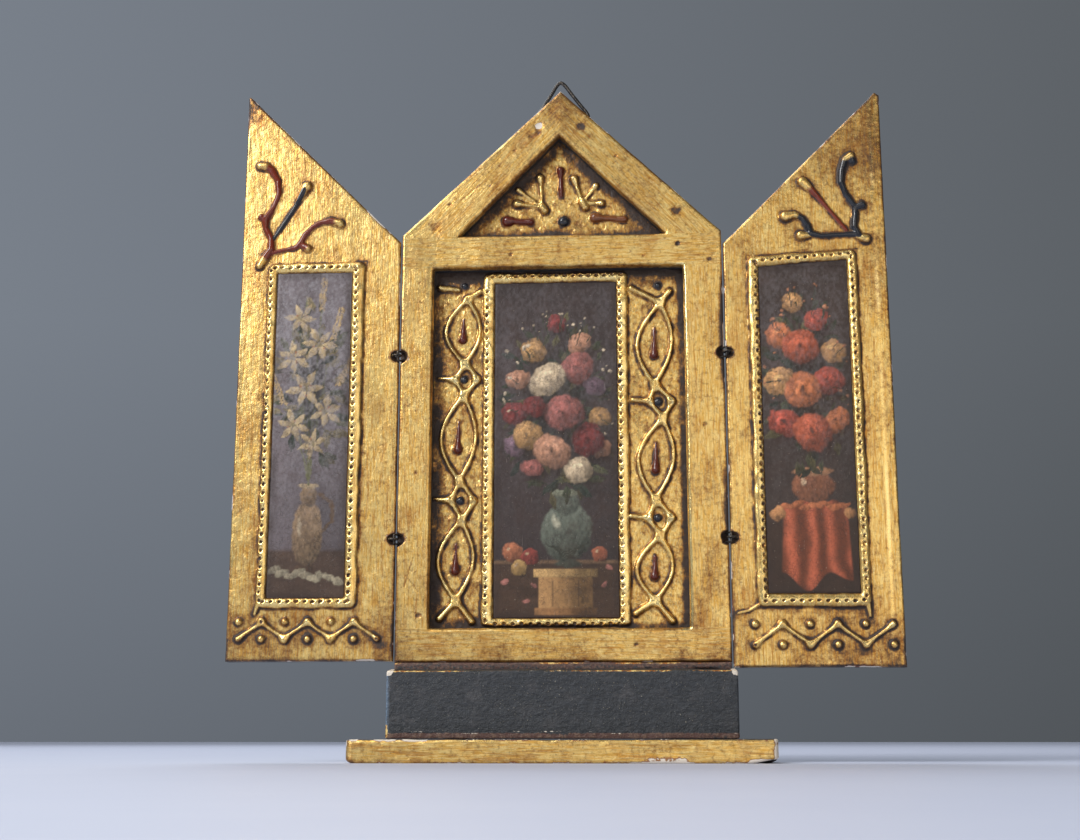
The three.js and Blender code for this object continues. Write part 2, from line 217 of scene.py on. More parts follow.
def mesh_piece(name, body, node, points, faces, materials, slots, shaded, colours):
    """A finished piece. `points` are in mm; `colours` are per point."""
    mesh = bpy.data.meshes.new(name)
    mesh.from_pydata((np.asarray(points) * 0.001).tolist(), [], faces)
    for material in materials:
        mesh.materials.append(material)
    mesh.polygons.foreach_set("material_index", np.asarray(slots, np.int32))
    mesh.polygons.foreach_set("use_smooth", np.asarray(shaded, bool))
    for key, values in colours.items():
        attribute = mesh.color_attributes.new(key, "FLOAT_COLOR", "POINT")
        attribute.data.foreach_set("color", np.asarray(values, np.float32).ravel())
    mesh.update()
    piece = bpy.data.objects.new(name, mesh)
    bpy.context.scene.collection.objects.link(piece)
    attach(piece, body)
    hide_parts(node)
    return piece


BACK_BEVEL = 0.5


def board_piece(
    name, body, node, sheet, front, back, height, colours, materials, warp=None, rows=4, taper=None
):
    """A board: its sheet raised by `height`, walls, and a flat back with its arris taken off.

    `front` and `back` are Y. `materials` are for the front, the walls and the back. `taper` moves the
    walls, given their points and share of the depth."""
    flat, quads, parts = sheet
    placed = warp(flat) if warp else flat
    points = [np.column_stack([placed[:, 0], front - height, placed[:, 1]])]
    faces = quads.tolist() + parts
    slots = [0] * len(faces)
    kept = {key: [values] for key, values in colours.items()}
    backs, count = [], len(flat)
    for loop in rim_loops(quads, parts):
        ring = before = np.array(loop)
        here = placed[ring]
        spans = here - np.roll(here, 1, 0), np.roll(here, -1, 0) - here
        ways = [np.column_stack([-d[:, 1], d[:, 0]]) / np.hypot(*d.T)[:, None] for d in spans]
        inward = (ways[0] + ways[1]) / (1 + np.sum(ways[0] * ways[1], 1))[:, None]
        for row in range(1, rows + 2):
            last, share = row > rows, min(row / rows, 1)
            y = np.full(len(ring), back) if last else mix(front - height[ring], back - BACK_BEVEL, share)
            at = here + inward * BACK_BEVEL * last
            if taper:
                at = taper(at, share)
            points.append(np.column_stack([at[:, 0], y, at[:, 1]]))
            for key, values in kept.items():
                values.append(values[0][ring])
                if key == "tone":
                    # Further back the walls darken, as the dark side and painted shade for the seams.
                    #                     # The wear of the front stops at the back's arris.
                    values[-1][:, 3] = share
                    values[-1] *= not last
            now = np.arange(count, count + len(ring))
            count += len(ring)
            faces += np.column_stack([np.roll(before, -1), before, now, np.roll(now, -1)]).tolist()
            slots += [2 if last else 1] * len(ring)
            before = now
        backs.append((now, at))
    shaded = [True] * len(faces)
    if len(backs) == 1:
        faces.append(backs[0][0][::-1].tolist())
    else:
        # The longest loop goes first: the others are holes in it.
        backs.sort(key=lambda ring: -np.ptp(ring[1][:, 0]))
        numbers, places = (np.concatenate(part) for part in zip(*backs))
        for corners in tessellate_polygon([[(x, z, 0.0) for x, z in at] for _, at in backs]):
            a, b, c = places[list(corners)]
            turn = (b[0] - a[0]) * (c[1] - a[1]) - (b[1] - a[1]) * (c[0] - a[0])
            faces.append(numbers[list(corners)][:: -1 if turn > 0 else 1].tolist())
    slots += [2] * (len(faces) - len(slots))
    shaded += [False] * (len(faces) - len(shaded))
    merged = {key: np.concatenate(values) for key, values in kept.items()}
    return mesh_piece(name, body, node, np.concatenate(points), faces, materials, slots, shaded, merged)


def wavy(flat, sides, amount, seed):
    """Moves the points near each side of an outline inwards by an uneven amount."""
    moved = flat.copy()
    for k, (a, b) in enumerate(sides):
        a, b = np.array(a, float), np.array(b, float)
        length = np.hypot(*(b - a))
        along = (b - a) / length
        inward = np.array([-along[1], along[0]])
        d, t = (flat - a) @ inward, (flat - a) @ along
        ends = smooth(t / 6) * smooth((length - t) / 6)
        run = unit(0.5 + 0.5 * noise(t, t * 0 + 3.3 * k, 22, seed + k, 4))
        moved += (amount * run * fade(d, 0.5, 5) * ends * (d > -0.01))[:, None] * inward
    return moved


# ---- Gesso relief piped on a sheet ----


class Relief:
    """Heights and paint of the raised gesso on a sheet, all in mm."""

    def __init__(self, points, seed):
        self.points, self.seed = points, seed
        self.noise = noise_at(*points.T, seed)
        self.height, self.pit, self.crest = np.zeros((3, len(points)))
        self.rim = np.full(len(points), 9.0)
        self.lacquer = np.zeros((len(points), 4))

    def near(self, places, margin):
        """The numbers of the points about some places."""
        low, high = np.min(places, 0) - margin, np.max(places, 0) + margin
        return np.flatnonzero(np.all((self.points > low) & (self.points < high), 1))

    def build_up(self, some, height, crest, rim):
        self.height[some] = np.maximum(self.height[some], height)
        self.crest[some] = np.maximum(self.crest[some], crest)
        self.rim[some] = np.minimum(self.rim[some], rim)

    def coat(self, some, cover, paint):
        more = cover > self.lacquer[some, 3]
        self.lacquer[some[more], :3] = paint
        self.lacquer[some[more], 3] = cover[more]

    def field(self, route):
        """Distance outside a tapering line's rim, its radius, and its share of paint, for each point."""
        count = len(self.points)
        rim, radius, share = np.full(count, 9.0), np.ones(count), np.zeros(count)
        route = np.array(route, float)
        for a, b in zip(route, route[1:]):
            some = self.near([a[:2], b[:2]], max(a[2], b[2]) + 3)
            out, along = self.points[some] - a[:2], b[:2] - a[:2]
            t = unit(out @ along / max(along @ along, 1e-9))
            r = mix(a[2], b[2], t)
            d = np.hypot(*(out - t[:, None] * along).T) - r
            closer = d < rim[some]
            some = some[closer]
            rim[some], radius[some], share[some] = d[closer], r[closer], mix(a[3], b[3], t)[closer]
        return rim, radius, share

    def pipe(self, routes, web=0.8, tall=1.0, paint=None):
        """Lines run together where they meet. A route's points are (x, z, radius, share of paint)."""
        rim, radius, share = self.field(routes[0])
        for route in routes[1:]:
            other, *rest = self.field(route)
            blend = np.maximum(web - np.abs(rim - other), 0) / web * ((rim < 2.5) & (other < 2.5))
            radius, share = np.where(other < rim, rest, (radius, share))
            rim = np.minimum(rim, other) - blend**2 * web / 4
        rim = rim + 0.10 * self.noise(2.6, 5) * (rim < 3)
        depth = unit(-rim / radius)
        dome = tall * radius * (1 - (1 - depth) ** 2) ** 0.62 * (1 + 0.07 * self.noise(3.5, 6))
        higher = dome > self.height
        self.height = np.where(higher, dome, self.height)
        self.rim = np.minimum(self.rim, rim)
        self.crest = np.where(higher, depth, self.crest)
        if paint is not None:
            cover = np.where(higher | (rim < 0.35), share * smooth(0.5 - rim / 0.7), 0)
            self.coat(np.arange(len(cover)), cover, paint)

    def dome(self, x, z, radius, tall, paint=None):
        some = self.near([(x, z)], radius + 2)
        d = np.hypot(*(self.points[some] - (x, z)).T)
        self.build_up(some, tall * unit(1 - (d / radius) ** 2) ** 0.6, unit(1 - d / radius), d - radius)
        if paint is not None:
            self.coat(some, fade(d, radius - 0.2, radius + 0.4), paint)

    def hole(self, x, z, radius, deep, long=1.0, turn=0.0):
        """A pit with a raised lip, `long` times its width along `turn`."""
        some = self.near([(x, z)], radius * long + 1)
        dx, dz = (self.points[some] - (x, z)).T
        u, v = dx * math.cos(turn) + dz * math.sin(turn), dz * math.cos(turn) - dx * math.sin(turn)
        d = np.hypot(u / long, v) / radius
        self.height[some] -= deep * unit(1 - d**2) ** 0.8
        self.height[some] += 0.22 * np.exp(-(((d - 1.4) / 0.3) ** 2))
        self.pit[some] = np.maximum(self.pit[some], fade(d, 0.75, 1.15))

    def row_of_holes(self, start, end, pitch, seed):
        start, end = np.array(start, float), np.array(end, float)
        count = int(np.hypot(*(end - start)) / pitch)
        turn = math.atan2(end[1] - start[1], end[0] - start[0])
        rng = np.random.RandomState(seed)
        for i in range(count + 1):
            at = mix(start, end, i / count) + rng.uniform(-0.22, 0.22, 2)
            self.hole(*at, 0.70 * rng.uniform(0.85, 1.12), 1.0, 1.35, turn)

    def border(self, inner, outer, tall, corner=2.6):
        """A strip with rounded corners between an inner and an outer outline of four corners each."""
        some = self.near(outer, 3)
        p = self.points[some]
        gap = to_segments(p, inner).min(0) * np.where(within(p, inner), -1, 1)
        one, two = np.sort(to_segments(p, outer), 0)[:2]
        cut = np.where(two < corner, corner - np.hypot(corner - one, corner - two), one)
        edge = np.where(within(p, outer), np.minimum(one, cut), -one)
        own = noise_at(*p.T, self.seed)
        edge = edge - 0.35 + 0.35 * own(7, 8, 2)
        across = np.where((gap > 0) & (edge > 0), 4 * gap * edge / np.maximum(gap + edge, 1e-6) ** 2, 0)
        strip = tall * unit(across) ** 0.42 * (1 + 0.08 * own(4, 9))
        self.build_up(some, strip, unit(across), np.maximum(-gap, -edge))


# ---- Materials ----


def linear(*colour):
    """An sRGB colour from 0 to 255 as linear values."""
    return tuple(c / 255 / 12.92 if c <= 10 else ((c / 255 + 0.055) / 1.055) ** 2.4 for c in colour)


def feed(tree, node, inputs):
    """Sets a node's inputs, each a value or another node's output."""
    for key, value in inputs.items():
        value = getattr(value, "socket", value)
        if isinstance(value, bpy.types.NodeSocket):
            tree.links.new(value, node.inputs[key])
        else:
            node.inputs[key].default_value = value


def add_node(tree, kind, inputs, **settings):
    made = tree.nodes.new("ShaderNode" + kind)
    for key, value in settings.items():
        setattr(made, key, value)
    feed(tree, made, inputs)
    return made


class Output:
    """A node's output. Arithmetic adds maths nodes after it, and | takes the higher of two."""

    def __init__(self, shader, socket):
        self.shader, self.socket = shader, socket

    def __add__(self, other):
        return self.shader.node("Math", {0: self, 1: other}, operation="ADD")

    def __sub__(self, other):
        return self.shader.node("Math", {0: self, 1: other}, operation="SUBTRACT")

    def __rsub__(self, other):
        return self.shader.node("Math", {0: other, 1: self}, operation="SUBTRACT")

    def __mul__(self, other):
        return self.shader.node("Math", {0: self, 1: other}, operation="MULTIPLY")

    def __or__(self, other):
        return self.shader.node("Math", {0: self, 1: other}, operation="MAXIMUM")


class Shader:
    """Builds one node material around a Principled shader, in millimetres turned about Y."""

    def __init__(self, name, turn=0.0):
        self.material = bpy.data.materials.new(name)
        self.material.use_nodes = True
        self.tree = self.material.node_tree
        self.mm = self.mapped(self.node("TexCoord", {}, "Object"), Scale=(1000, 1000, 1000))
        if turn:
            self.mm = self.mapped(self.mm, Rotation=(0, math.radians(turn), 0))

    def node(self, kind, inputs, output=0, **settings):
        return Output(self, add_node(self.tree, kind, inputs, **settings).outputs[output])

    def mapped(self, vector, **inputs):
        return self.node("Mapping", {"Vector": vector, **inputs})

    def noise(self, size, detail=3.0, roughness=0.6, stretch=None):
        """Noise with features `size` mm across; `stretch` lengthens them along an axis."""
        vector = self.mapped(self.mm, Scale=tuple(1 / s for s in stretch)) if stretch else self.mm
        inputs = {"Vector": vector, "Scale": 1 / size, "Detail": detail, "Roughness": roughness}
        return self.node("TexNoise", inputs)

    def ramp(self, value, low, high):
        """0 at low, 1 at high, smoothly."""
        inputs = {"Value": value, "From Min": low, "From Max": high}
        return self.node("MapRange", inputs, interpolation_type="SMOOTHSTEP")

    def blend(self, share, a, b, blend_type="MIX"):
        a, b = ((*c, 1.0) if isinstance(c, tuple) else c for c in (a, b))
        return self.node("Mix", {0: share, 6: a, 7: b}, 2, data_type="RGBA", blend_type=blend_type)

    def coated(self, colour, *coats):
        """A colour under coats, each a share and a colour."""
        for share, coat in coats:
            colour = self.blend(share, colour, coat)
        return colour

    def attribute(self, name):
        """An attribute's colour, its alpha and its three channels."""
        made = add_node(self.tree, "Attribute", {}, attribute_name=name)
        parts = add_node(self.tree, "SeparateColor", {"Color": made.outputs["Color"]})
        sockets = made.outputs["Color"], made.outputs["Alpha"], *parts.outputs
        return [Output(self, socket) for socket in sockets]

    def bumps(self, *layers):
        """A normal bent by layers in turn, each a height, a distance in mm and a strength."""
        bent = {}
        for height, distance, strength in layers:
            inputs = {"Height": height, "Distance": distance * 0.001, "Strength": strength}
            bent = {"Normal": self.node("Bump", {**inputs, **bent})}
        return bent["Normal"]

    def finish(self, **inputs):
        skin = self.tree.nodes["Principled BSDF"]
        feed(self.tree, skin, {key.replace("_", " "): value for key, value in inputs.items()})
        return self.material


BRIGHT_LEAF, PALE_LEAF = linear(250, 230, 168), linear(238, 210, 138)
FULL_LEAF, DEEP_LEAF = linear(218, 170, 84), linear(164, 104, 44)
WASH_AND_SHADE, GLAZE_AND_SHADE, BOLE = linear(48, 33, 25), linear(120, 70, 38), linear(124, 66, 46)
GESSO, DARK_SIDE_AND_SHADE = linear(216, 206, 192), linear(44, 47, 52)


def gilding(name, toning, streaks=(0.55, 1.0, 7.0), turn=0.0):
    """Gold leaf on gesso, worn in places, and toned with a brown glaze that also carries painted shade.
    The tone attribute holds the toning with its painted shade, the worn places with their painted
    highlights, the chips and the depth behind the front."""
    s = Shader(name, turn)
    _, depth, wash_and_shade, rubbed_and_highlight, chipped = s.attribute("tone")
    paint, cover, *_ = s.attribute("lacquer")
    grain, fine = s.noise(1.0, 3.0, 0.62, streaks), s.noise(0.75, 2.0, 0.6)
    mottle = s.noise(2.1, 4.0, 0.68)
    uneven = mottle - 0.5
    flecks = s.noise(0.9, 2.0, 0.6, tuple(max(0.7, 0.45 * k) for k in streaks))
    # The toning, painted shade included, is a thin brown glaze that turns black where it gathers,
    #     # and breaks up over the mottling.
    broken = wash_and_shade + (uneven * 1.2 + (grain - 0.5) * 0.8 + (fine - 0.5) * 0.6)
    through = s.ramp(fine, 0.54, 0.70) * s.ramp(wash_and_shade, 1.25, 0.85)
    specks = s.ramp(s.noise(0.62, 2.0), 0.68, 0.77) * (0.35 + 0.5 * toning)
    dark = s.ramp(broken, 0.52, 1.02) * (1.0 - through * 0.7) | specks
    lacquered = s.ramp(cover + uneven * 0.4, 0.35, 0.65)
    edge = chipped + uneven * 1.2
    bole, chip = s.ramp(edge, 0.26, 0.40), s.ramp(edge, 0.46, 0.56)
    # Towards the back the walls turn dark: the board's dark side, and painted shade that keeps the seams dark.
    behind = s.ramp(depth + uneven * 0.5, 0.30, 0.60)
    colour = s.coated(
        FULL_LEAF,
        (s.ramp(grain, 0.36, 0.62), PALE_LEAF),
        (s.ramp(s.noise(2.2, 3.0, 0.6, streaks), 0.50, 0.66) * 0.55, DEEP_LEAF),
        (s.ramp(s.noise(9.0, 3.0, 0.6, (1, 1, 1.8)), 0.46, 0.70) * 0.40, DEEP_LEAF),
        (s.ramp(mottle, 0.52, 0.66) * (0.20 + 0.3 * toning), GLAZE_AND_SHADE),
        (s.ramp(flecks, 0.57, 0.72) * 0.55, BRIGHT_LEAF),
        # Worn places: paler leaf, and a painted highlight of bright leaf where most worn.
        (rubbed_and_highlight * 0.75, PALE_LEAF),
        (s.ramp(rubbed_and_highlight, 0.55, 0.95) * 0.6, BRIGHT_LEAF),
        (s.ramp(broken, -0.02, 0.75) * 0.80, GLAZE_AND_SHADE),
        (dark, WASH_AND_SHADE),
        (lacquered, s.blend(0.65, s.blend(s.ramp(fine, 0.35, 0.75), paint, WASH_AND_SHADE), paint)),
        (bole * 0.8, BOLE),
        (chip, GESSO),
        (behind, DARK_SIDE_AND_SHADE),
    )
    bare, polished = chip | behind, lacquered | rubbed_and_highlight
    metal = (1.0 - (bare | dark | lacquered | bole * 0.7)) * 0.85
    rough = fine * 0.20 + 0.25 + dark * 0.22 + bare * 0.36 - polished * 0.17
    strength = 0.9 - polished * 0.7
    normal = s.bumps(
        (grain, 0.12, strength), (s.noise(1.8, 2.0, 0.55), 0.10 + 0.12 * toning, strength),
        (fine, 0.05, strength), (s.noise(5.0, 2.0, 0.5), 0.38, 0.6), (chip, -0.25, 0.6),
    )
    return s.finish(Base_Color=colour, Metallic=metal, Roughness=rough, Normal=normal)


def dark_paint(name, wear=1.0):
    """Blue-black distemper with a leathery grain, pale specks and scuffs; the tone attribute adds a
    brown tone, gold worn through, gesso chips and a bluish painted highlight over worn paint."""
    s = Shader(name)
    _, bluish, wash_and_shade, rubbed_and_highlight, chipped = s.attribute("tone")
    brushed, leather = s.noise(1.0, 4.0, 0.7, (3.6, 1.2, 1)), s.noise(1.5, 3.0, 0.62)
    specks = s.ramp(s.noise(0.7, 1.5), 0.69, 0.76)
    scuffs = s.ramp(s.noise(1.3, 3.0, 0.6, (5, 1, 0.8)), 0.70, 0.79)
    ragged = (s.noise(1.3, 3.0) - 0.5) * 0.9
    brown = s.blend(s.ramp(leather, 0.45, 0.65), linear(84, 58, 52), linear(112, 88, 74))
    gold = s.ramp(rubbed_and_highlight + ragged, 0.42, 0.62)
    colour = s.coated(
        linear(30, 34, 39),
        (s.ramp(brushed, 0.36, 0.70), linear(50, 54, 60)),
        (s.ramp(s.noise(8.0, 4.0, 0.65), 0.50, 0.75) * 0.45, linear(76, 74, 76)),
        (s.ramp(leather, 0.58, 0.74) * 0.35, linear(84, 86, 92)),
        (specks * (0.7 * wear), linear(176, 168, 150)),
        (scuffs * (0.40 * wear), linear(140, 136, 128)),
        # A bluish painted highlight over worn paint.
        (bluish * s.ramp(leather, 0.25, 0.55), linear(104, 124, 146)),
        (s.ramp(wash_and_shade + ragged, 0.35, 0.6), brown),
        (gold, s.blend(s.ramp(leather, 0.42, 0.62), DEEP_LEAF, PALE_LEAF)),
        (s.ramp(chipped + ragged, 0.42, 0.55), GESSO),
    )
    fine = s.noise(0.7, 3.0, 0.65)
    normal = s.bumps((brushed, 0.22, 0.8), (leather, 0.50, 0.9), (fine, 0.20, 0.9), (specks, 0.15, 0.7))
    return s.finish(Base_Color=colour, Metallic=gold * 0.6, Roughness=brushed * 0.22 + 0.42, Normal=normal)


def print_paper(name):
    """Printed paper under an old varnish with a fine net of cracks."""
    s = Shader(name)
    ink, *_ = s.attribute("ink")
    fibre, weave = s.noise(0.6, 3.0, 0.7), s.noise(1.1, 3.0, 0.65)
    net = {"Vector": s.mm, "Scale": 1 / 1.7}
    net = s.node("TexVoronoi", net, "Distance", feature="DISTANCE_TO_EDGE")
    cracks = (1.0 - s.ramp(net, 0.0, 0.07)) * s.ramp(s.noise(5.0), 0.40, 0.62)
    ink = s.coated(
        s.blend(s.ramp(fibre, 0.40, 0.70) * 0.30, ink, linear(178, 160, 142), "SOFT_LIGHT"),
        (s.ramp(weave, 0.48, 0.70) * 0.30, linear(50, 34, 28)),
        (s.ramp(s.noise(7.0, 4.0, 0.6), 0.45, 0.75) * 0.30, linear(62, 42, 34)),
        (cracks * 0.45, linear(36, 24, 20)),
        (s.ramp(s.noise(0.8, 2.0, 0.6, (0.5, 1, 6)), 0.70, 0.78) * 0.28, linear(170, 160, 150)),
        (s.ramp(s.noise(0.55, 1.0), 0.75, 0.80) * 0.5, linear(190, 178, 158)),
    )
    normal = s.bumps((s.noise(3.0, 3.0, 0.6), 0.22, 0.8), (weave, 0.10, 0.9), (cracks, -0.06, 0.7))
    varnish = {"Coat_Weight": 0.2, "Coat_Roughness": 0.3, "Specular_IOR_Level": 0.32}
    return s.finish(Base_Color=ink, Roughness=fibre * 0.2 + 0.36, Normal=normal, **varnish)


def iron_wire(name):
    s = Shader(name)
    rust = s.noise(0.9, 4.0, 0.7)
    colour = s.coated(
        linear(50, 49, 50),
        (s.ramp(rust, 0.4, 0.7), linear(106, 99, 90)),
        (s.ramp(s.noise(0.5, 3.0), 0.64, 0.76), linear(98, 60, 40)),
    )
    normal = s.bumps((rust, 0.05, 0.8))
    return s.finish(Base_Color=colour, Metallic=0.8, Roughness=rust * 0.3 + 0.28, Normal=normal)


GILT = gilding("gilding", 0.35)
GILT_ACROSS = gilding("gilding_across", 0.35, (7.0, 1.0, 0.55))
GILT_RAKES = gilding("gilding_left_rake", 0.35, turn=-43), gilding("gilding_right_rake", 0.45, turn=43)
GILT_WALL = gilding("gilding_wall", 1.0, (1.0, 1.0, 1.0))
GILT_RECESS = gilding("recess_gilding", 0.8, (0.7, 1.0, 1.8))
PAINT, PAINT_BACK = dark_paint("dark_paint"), dark_paint("dark_paint_back", 0.6)
PAPER = print_paper("print")
WIRE = iron_wire("iron_wire")
RED, PLUM, BLACK = linear(118, 46, 26), linear(92, 38, 30), linear(34, 38, 45)


# ---- The frame: a gabled board with a tall and a triangular opening ----

back_low, back_high = box_mm("back_board")
frame_low, frame_high = box_mm("gable_frame")
HALF, BOTTOM, PEAK = back_high[0], back_low[2], back_high[2]
SHOULDER = BOTTOM + 186.5
FRONT, FLOOR, BACK = frame_low[1], frame_high[1], back_high[1]
PANEL = [(-HALF, BOTTOM), (HALF, BOTTOM), (HALF, SHOULDER), (0, PEAK), (-HALF, SHOULDER)]
RAKES = [(PANEL[2], PANEL[3]), (PANEL[3], PANEL[4])]
TALL = [(-55.8, 54.8), (53, 54.8), (53, 211.5), (-55.8, 211.5)]
GABLE = [(-44.8, 226.4), (45.6, 226.4), (-0.6, 272.6)]
RAIL_Z = 219  # the middle of the rail between the openings
FRAME_CELL, RECESS_CELL, WING_CELL, HIDDEN_CELL = 0.53, 0.42, 0.45, 3
HINGES = (92, 172)
AXIS_X, AXIS_Y = 70.9, 0.7

# Small knocks: (x, z, radius, depth, wash, chip)
KNOCKS = [
    (-9.6, 277.6, 2.1, 0.4, 0.2, 0.9), (-13.4, 272.9, 2.2, 0.35, 0.62, 0), (-10.4, 273.9, 1.5, 0.3, 0.7, 0.1),
    (9.2, 276.8, 2.2, 0.12, 1, 0), (13, 272.4, 1.4, 0.05, 0.5, 0), (50.3, 236.4, 2.4, 0.15, 0.95, 0),
    (51.1, 221.6, 1.2, 0.8, 1.2, 0.1), (-56, 231.2, 2.1, 0.08, 0.55, 0.12), (-60.4, 60, 1.3, 0.4, 0.8, 0.2),
    (30.5, 47.6, 1, 0.4, 0.9, 0), (-22, 217.5, 1, 0.3, 0.9, 0), (61, 140.5, 0.9, 0.3, 0.8, 0),
    (-62.2, 120.8, 0.8, 0.3, 0.8, 0), (-31.4, 249.6, 1.1, 0.2, 0.1, 0.5), (-33.2, 250.4, 1, 0.2, 0.1, 0.45),
    (24.5, 262.5, 0.9, 0.3, 0.7, 0), (-20.5, 266, 0.8, 0.2, 0.6, 0), (36, 216, 0.8, 0.3, 0.7, 0),
    (-49, 241, 0.9, 0.2, 0.6, 0), (-62, 205, 0.8, 0.2, 0.6, 0), (64.5, 214, 1.2, 0.3, 0.9, 0),
]
# Fine scratches down the left stile, the left rake and the right stile.
SCRATCHES = [
    ((-66, 77), (-60.5, 70)), ((-63, 84), (-66.5, 72)), ((-44, 243), (-36, 250)), ((58, 70), (62, 88)),
]


def hinge_dents(x, z, radius, half_height, height, front):
    """Cuts the round dents for the hinge wires into a height; also says how near each point is to one."""
    rim = np.full(len(x), 9.0)
    for hinge_z in HINGES:
        for side in (-1, 1):
            d = np.hypot((x - side * AXIS_X) / radius, (z - hinge_z) / half_height)
            d = d + 0.06 * noise(x, z, 1.6, 77)
            pit = AXIS_Y + radius * np.sqrt(unit(1 - d**2))
            height = np.where(d < 1, np.minimum(height, front - pit), height)
            rim = np.minimum(rim, (d - 1) * radius)
    return height, rim


def make_frame():
    corners = [*TALL, *GABLE]
    xs = spaced([(-HALF, FRAME_CELL)], HALF, [0, *(x for x, _ in corners)])
    zs = spaced([(BOTTOM, FRAME_CELL)], PEAK, [SHOULDER, *(z for _, z in corners)])
    slants = [*RAKES, (GABLE[1], GABLE[2]), (GABLE[2], GABLE[0])]
    sheet = sheet_of_cells(xs, zs, slants, lambda p: within(p, PANEL) & ~within(p, TALL) & ~within(p, GABLE))
    flat = sheet[0]
    x, z = flat.T
    n = noise_at(x, z)
    outer, tall, gable = (to_segments(flat, outline).min(0) for outline in (PANEL, TALL, GABLE))
    inner = np.minimum(tall, gable)
    worn = unit(0.5 + 0.5 * n(9, 3, 3))
    height = 0.13 * n((12, 26), 1, 3) - 0.13
    height -= rounded_off(outer, 0.55 + 0.5 * worn) + rounded_off(inner, 1.1 + 0.7 * worn)
    wash_and_shade = 0.10 + 0.22 * n((10, 22), 11, 3)
    # Dark wash and painted shade along the openings' edges, left off the right-hand side, which is lit.
    wash_and_shade += 0.42 * fade(inner, 0.2, 1.6) * unit(0.6 + n(10, 12)) * (x < 50)
    wash_and_shade += 0.55 * fade(outer, 0.1, 1.8) * unit(0.6 + n(14, 13, 2))
    wash_and_shade += 0.30 * smooth((x - 30) / 30) * n((8, 15), 28, 3)
    # Dark smears down the right edge by the hinges, and soot under the peak.
    beside_hinges = band(z - 182, 10, 34) + band(z - 108, 8, 20)
    wash_and_shade += 0.9 * fade(HALF - x, 0.6, 3.2 + 1.2 * n(7, 23, 2)) * beside_hinges
    wash_and_shade += 0.35 * spot(x, z - 286, 3, 14)
    rubbed_and_highlight = 0.45 * band(inner - 2.2, 0, 1.3) + 0.5 * band(outer - 1.6, 0, 1.3)
    rubbed_and_highlight *= unit(0.5 + 0.9 * n(12, 14, 2))
    rubbed_and_highlight += 0.35 * unit(n((16, 40), 15, 2)) * (x < -55)
    # A painted highlight down the right-hand inner arris, lit from the left.
    rubbed_and_highlight += 0.9 * band(inner - 0.8, 0.2, 1.1) * (x > 50) * unit(0.8 + 0.5 * n(15, 22))
    chips = fade(outer, -0.2, 0.9) * unit(n(5, 16, 2) * 1.6 - 0.35)
    for kx, kz, radius, deep, dark, pale in KNOCKS:
        d = np.hypot(x - kx, (z - kz) * 1.15) / radius + 0.22 * n(1.5, 17)
        height -= deep * unit(1 - d**2)
        wash_and_shade = np.maximum(wash_and_shade, np.maximum(dark * fade(d, 0.7, 1.25), 0.5 * band(d - 1.15, 0.0, 0.25)))
        chips = np.maximum(chips, pale * fade(d, 0.5, 1.0))
    for scratch in SCRATCHES:
        line = fade(to_segments(flat, scratch, closed=False).min(0), 0.1, 0.5)
        height -= 0.12 * line
        wash_and_shade = np.maximum(wash_and_shade, 0.55 * line)
    height, dent = hinge_dents(x, z, 4.4, 3.4, height, FRONT)
    wash_and_shade = np.maximum(wash_and_shade, 1.2 * fade(dent, -0.3, 0.5))
    chips = np.maximum(chips, 0.5 * band(dent - 0.5, 0.1, 0.7) * unit(0.4 + n(3, 18)))
    wash_and_shade += 0.25 * fade(z, 46, 62) * unit(0.5 + n((20, 5), 19, 2))
    tone = tone_of(np.clip(wash_and_shade, 0, 1.2), unit(rubbed_and_highlight), chips)

    def warp(points):
        moved = wavy(points, [side for side in sides_of(PANEL) if side[0][0] != side[1][0]], 0.18, 21)
        for corners, seed in ((TALL, 24), (GABLE, 27)):
            moved += wavy(points, [(b, a) for a, b in sides_of(corners)], 0.30, seed) - points
        return moved

    piece = board_piece(
        "gable_frame_gilded", "centre", "gable_frame", sheet, FRONT, FLOOR, height,
        {"tone": tone, "lacquer": np.zeros((len(x), 4))}, [GILT, GILT_WALL, PAINT_BACK], warp,
    )
    # The rails are brushed along X and the rakes along their slopes.
    faces = piece.data.polygons
    centres, index = np.zeros(3 * len(faces), np.float32), np.zeros(len(faces), np.int32)
    faces.foreach_get("center", centres)
    faces.foreach_get("material_index", index)
    x, _, z = centres.reshape(-1, 3).T * 1000
    rake = (z > 229) | (z > 226) & (np.abs(x) > 50)
    front = index == 0
    places = (z < 54.8) | (np.abs(z - RAIL_Z) < 7.4), rake & (x < 0), rake & (x >= 0)
    for place, material in zip(places, (GILT_ACROSS, *GILT_RAKES)):
        index[front & place] = len(piece.data.materials)
        piece.data.materials.append(material)
    faces.foreach_set("material_index", index)


# ---- The back board: the recess floors with the piped columns and the gable's spray ----

PICTURE = (-29.3, 23.9, 59.3, 206.1)
BORDER_OUTER = (-34.9, 29.3, 55.4, 211)
COLUMNS = [
    {
        "crossings": [
            (-41.5, 199), (-42.4, 169.7), (-42.8, 155.7), (-44.3, 117.9), (-43.2, 100.9), (-45.2, 66.7),
        ],
        "heads": [((-45.4, 203.4), (-53.6, 204.4)), ((-41.5, 199), (-35.6, 202.6))],
        "feet": [(-52, 59), (-38.3, 57.9)], "stud": (-42.8, 205.3), "arm_end": 0.7,
    },
    {
        "crossings": [(43.1, 196.3), (40.1, 159.4), (43.3, 144.6), (39.8, 109.2), (41.5, 93.5), (39.1, 66.3)],
        "heads": [((43.1, 196.3), (30.4, 203.0)), ((43.1, 196.3), (47.2, 201.4))],
        "feet": [(30.8, 61.1), (46.1, 57.8)], "stud": (42.3, 204.2), "arm_end": 1.2,
    },
]
BARE_GROUND = 0.05  # relief lower than this is the plain ground
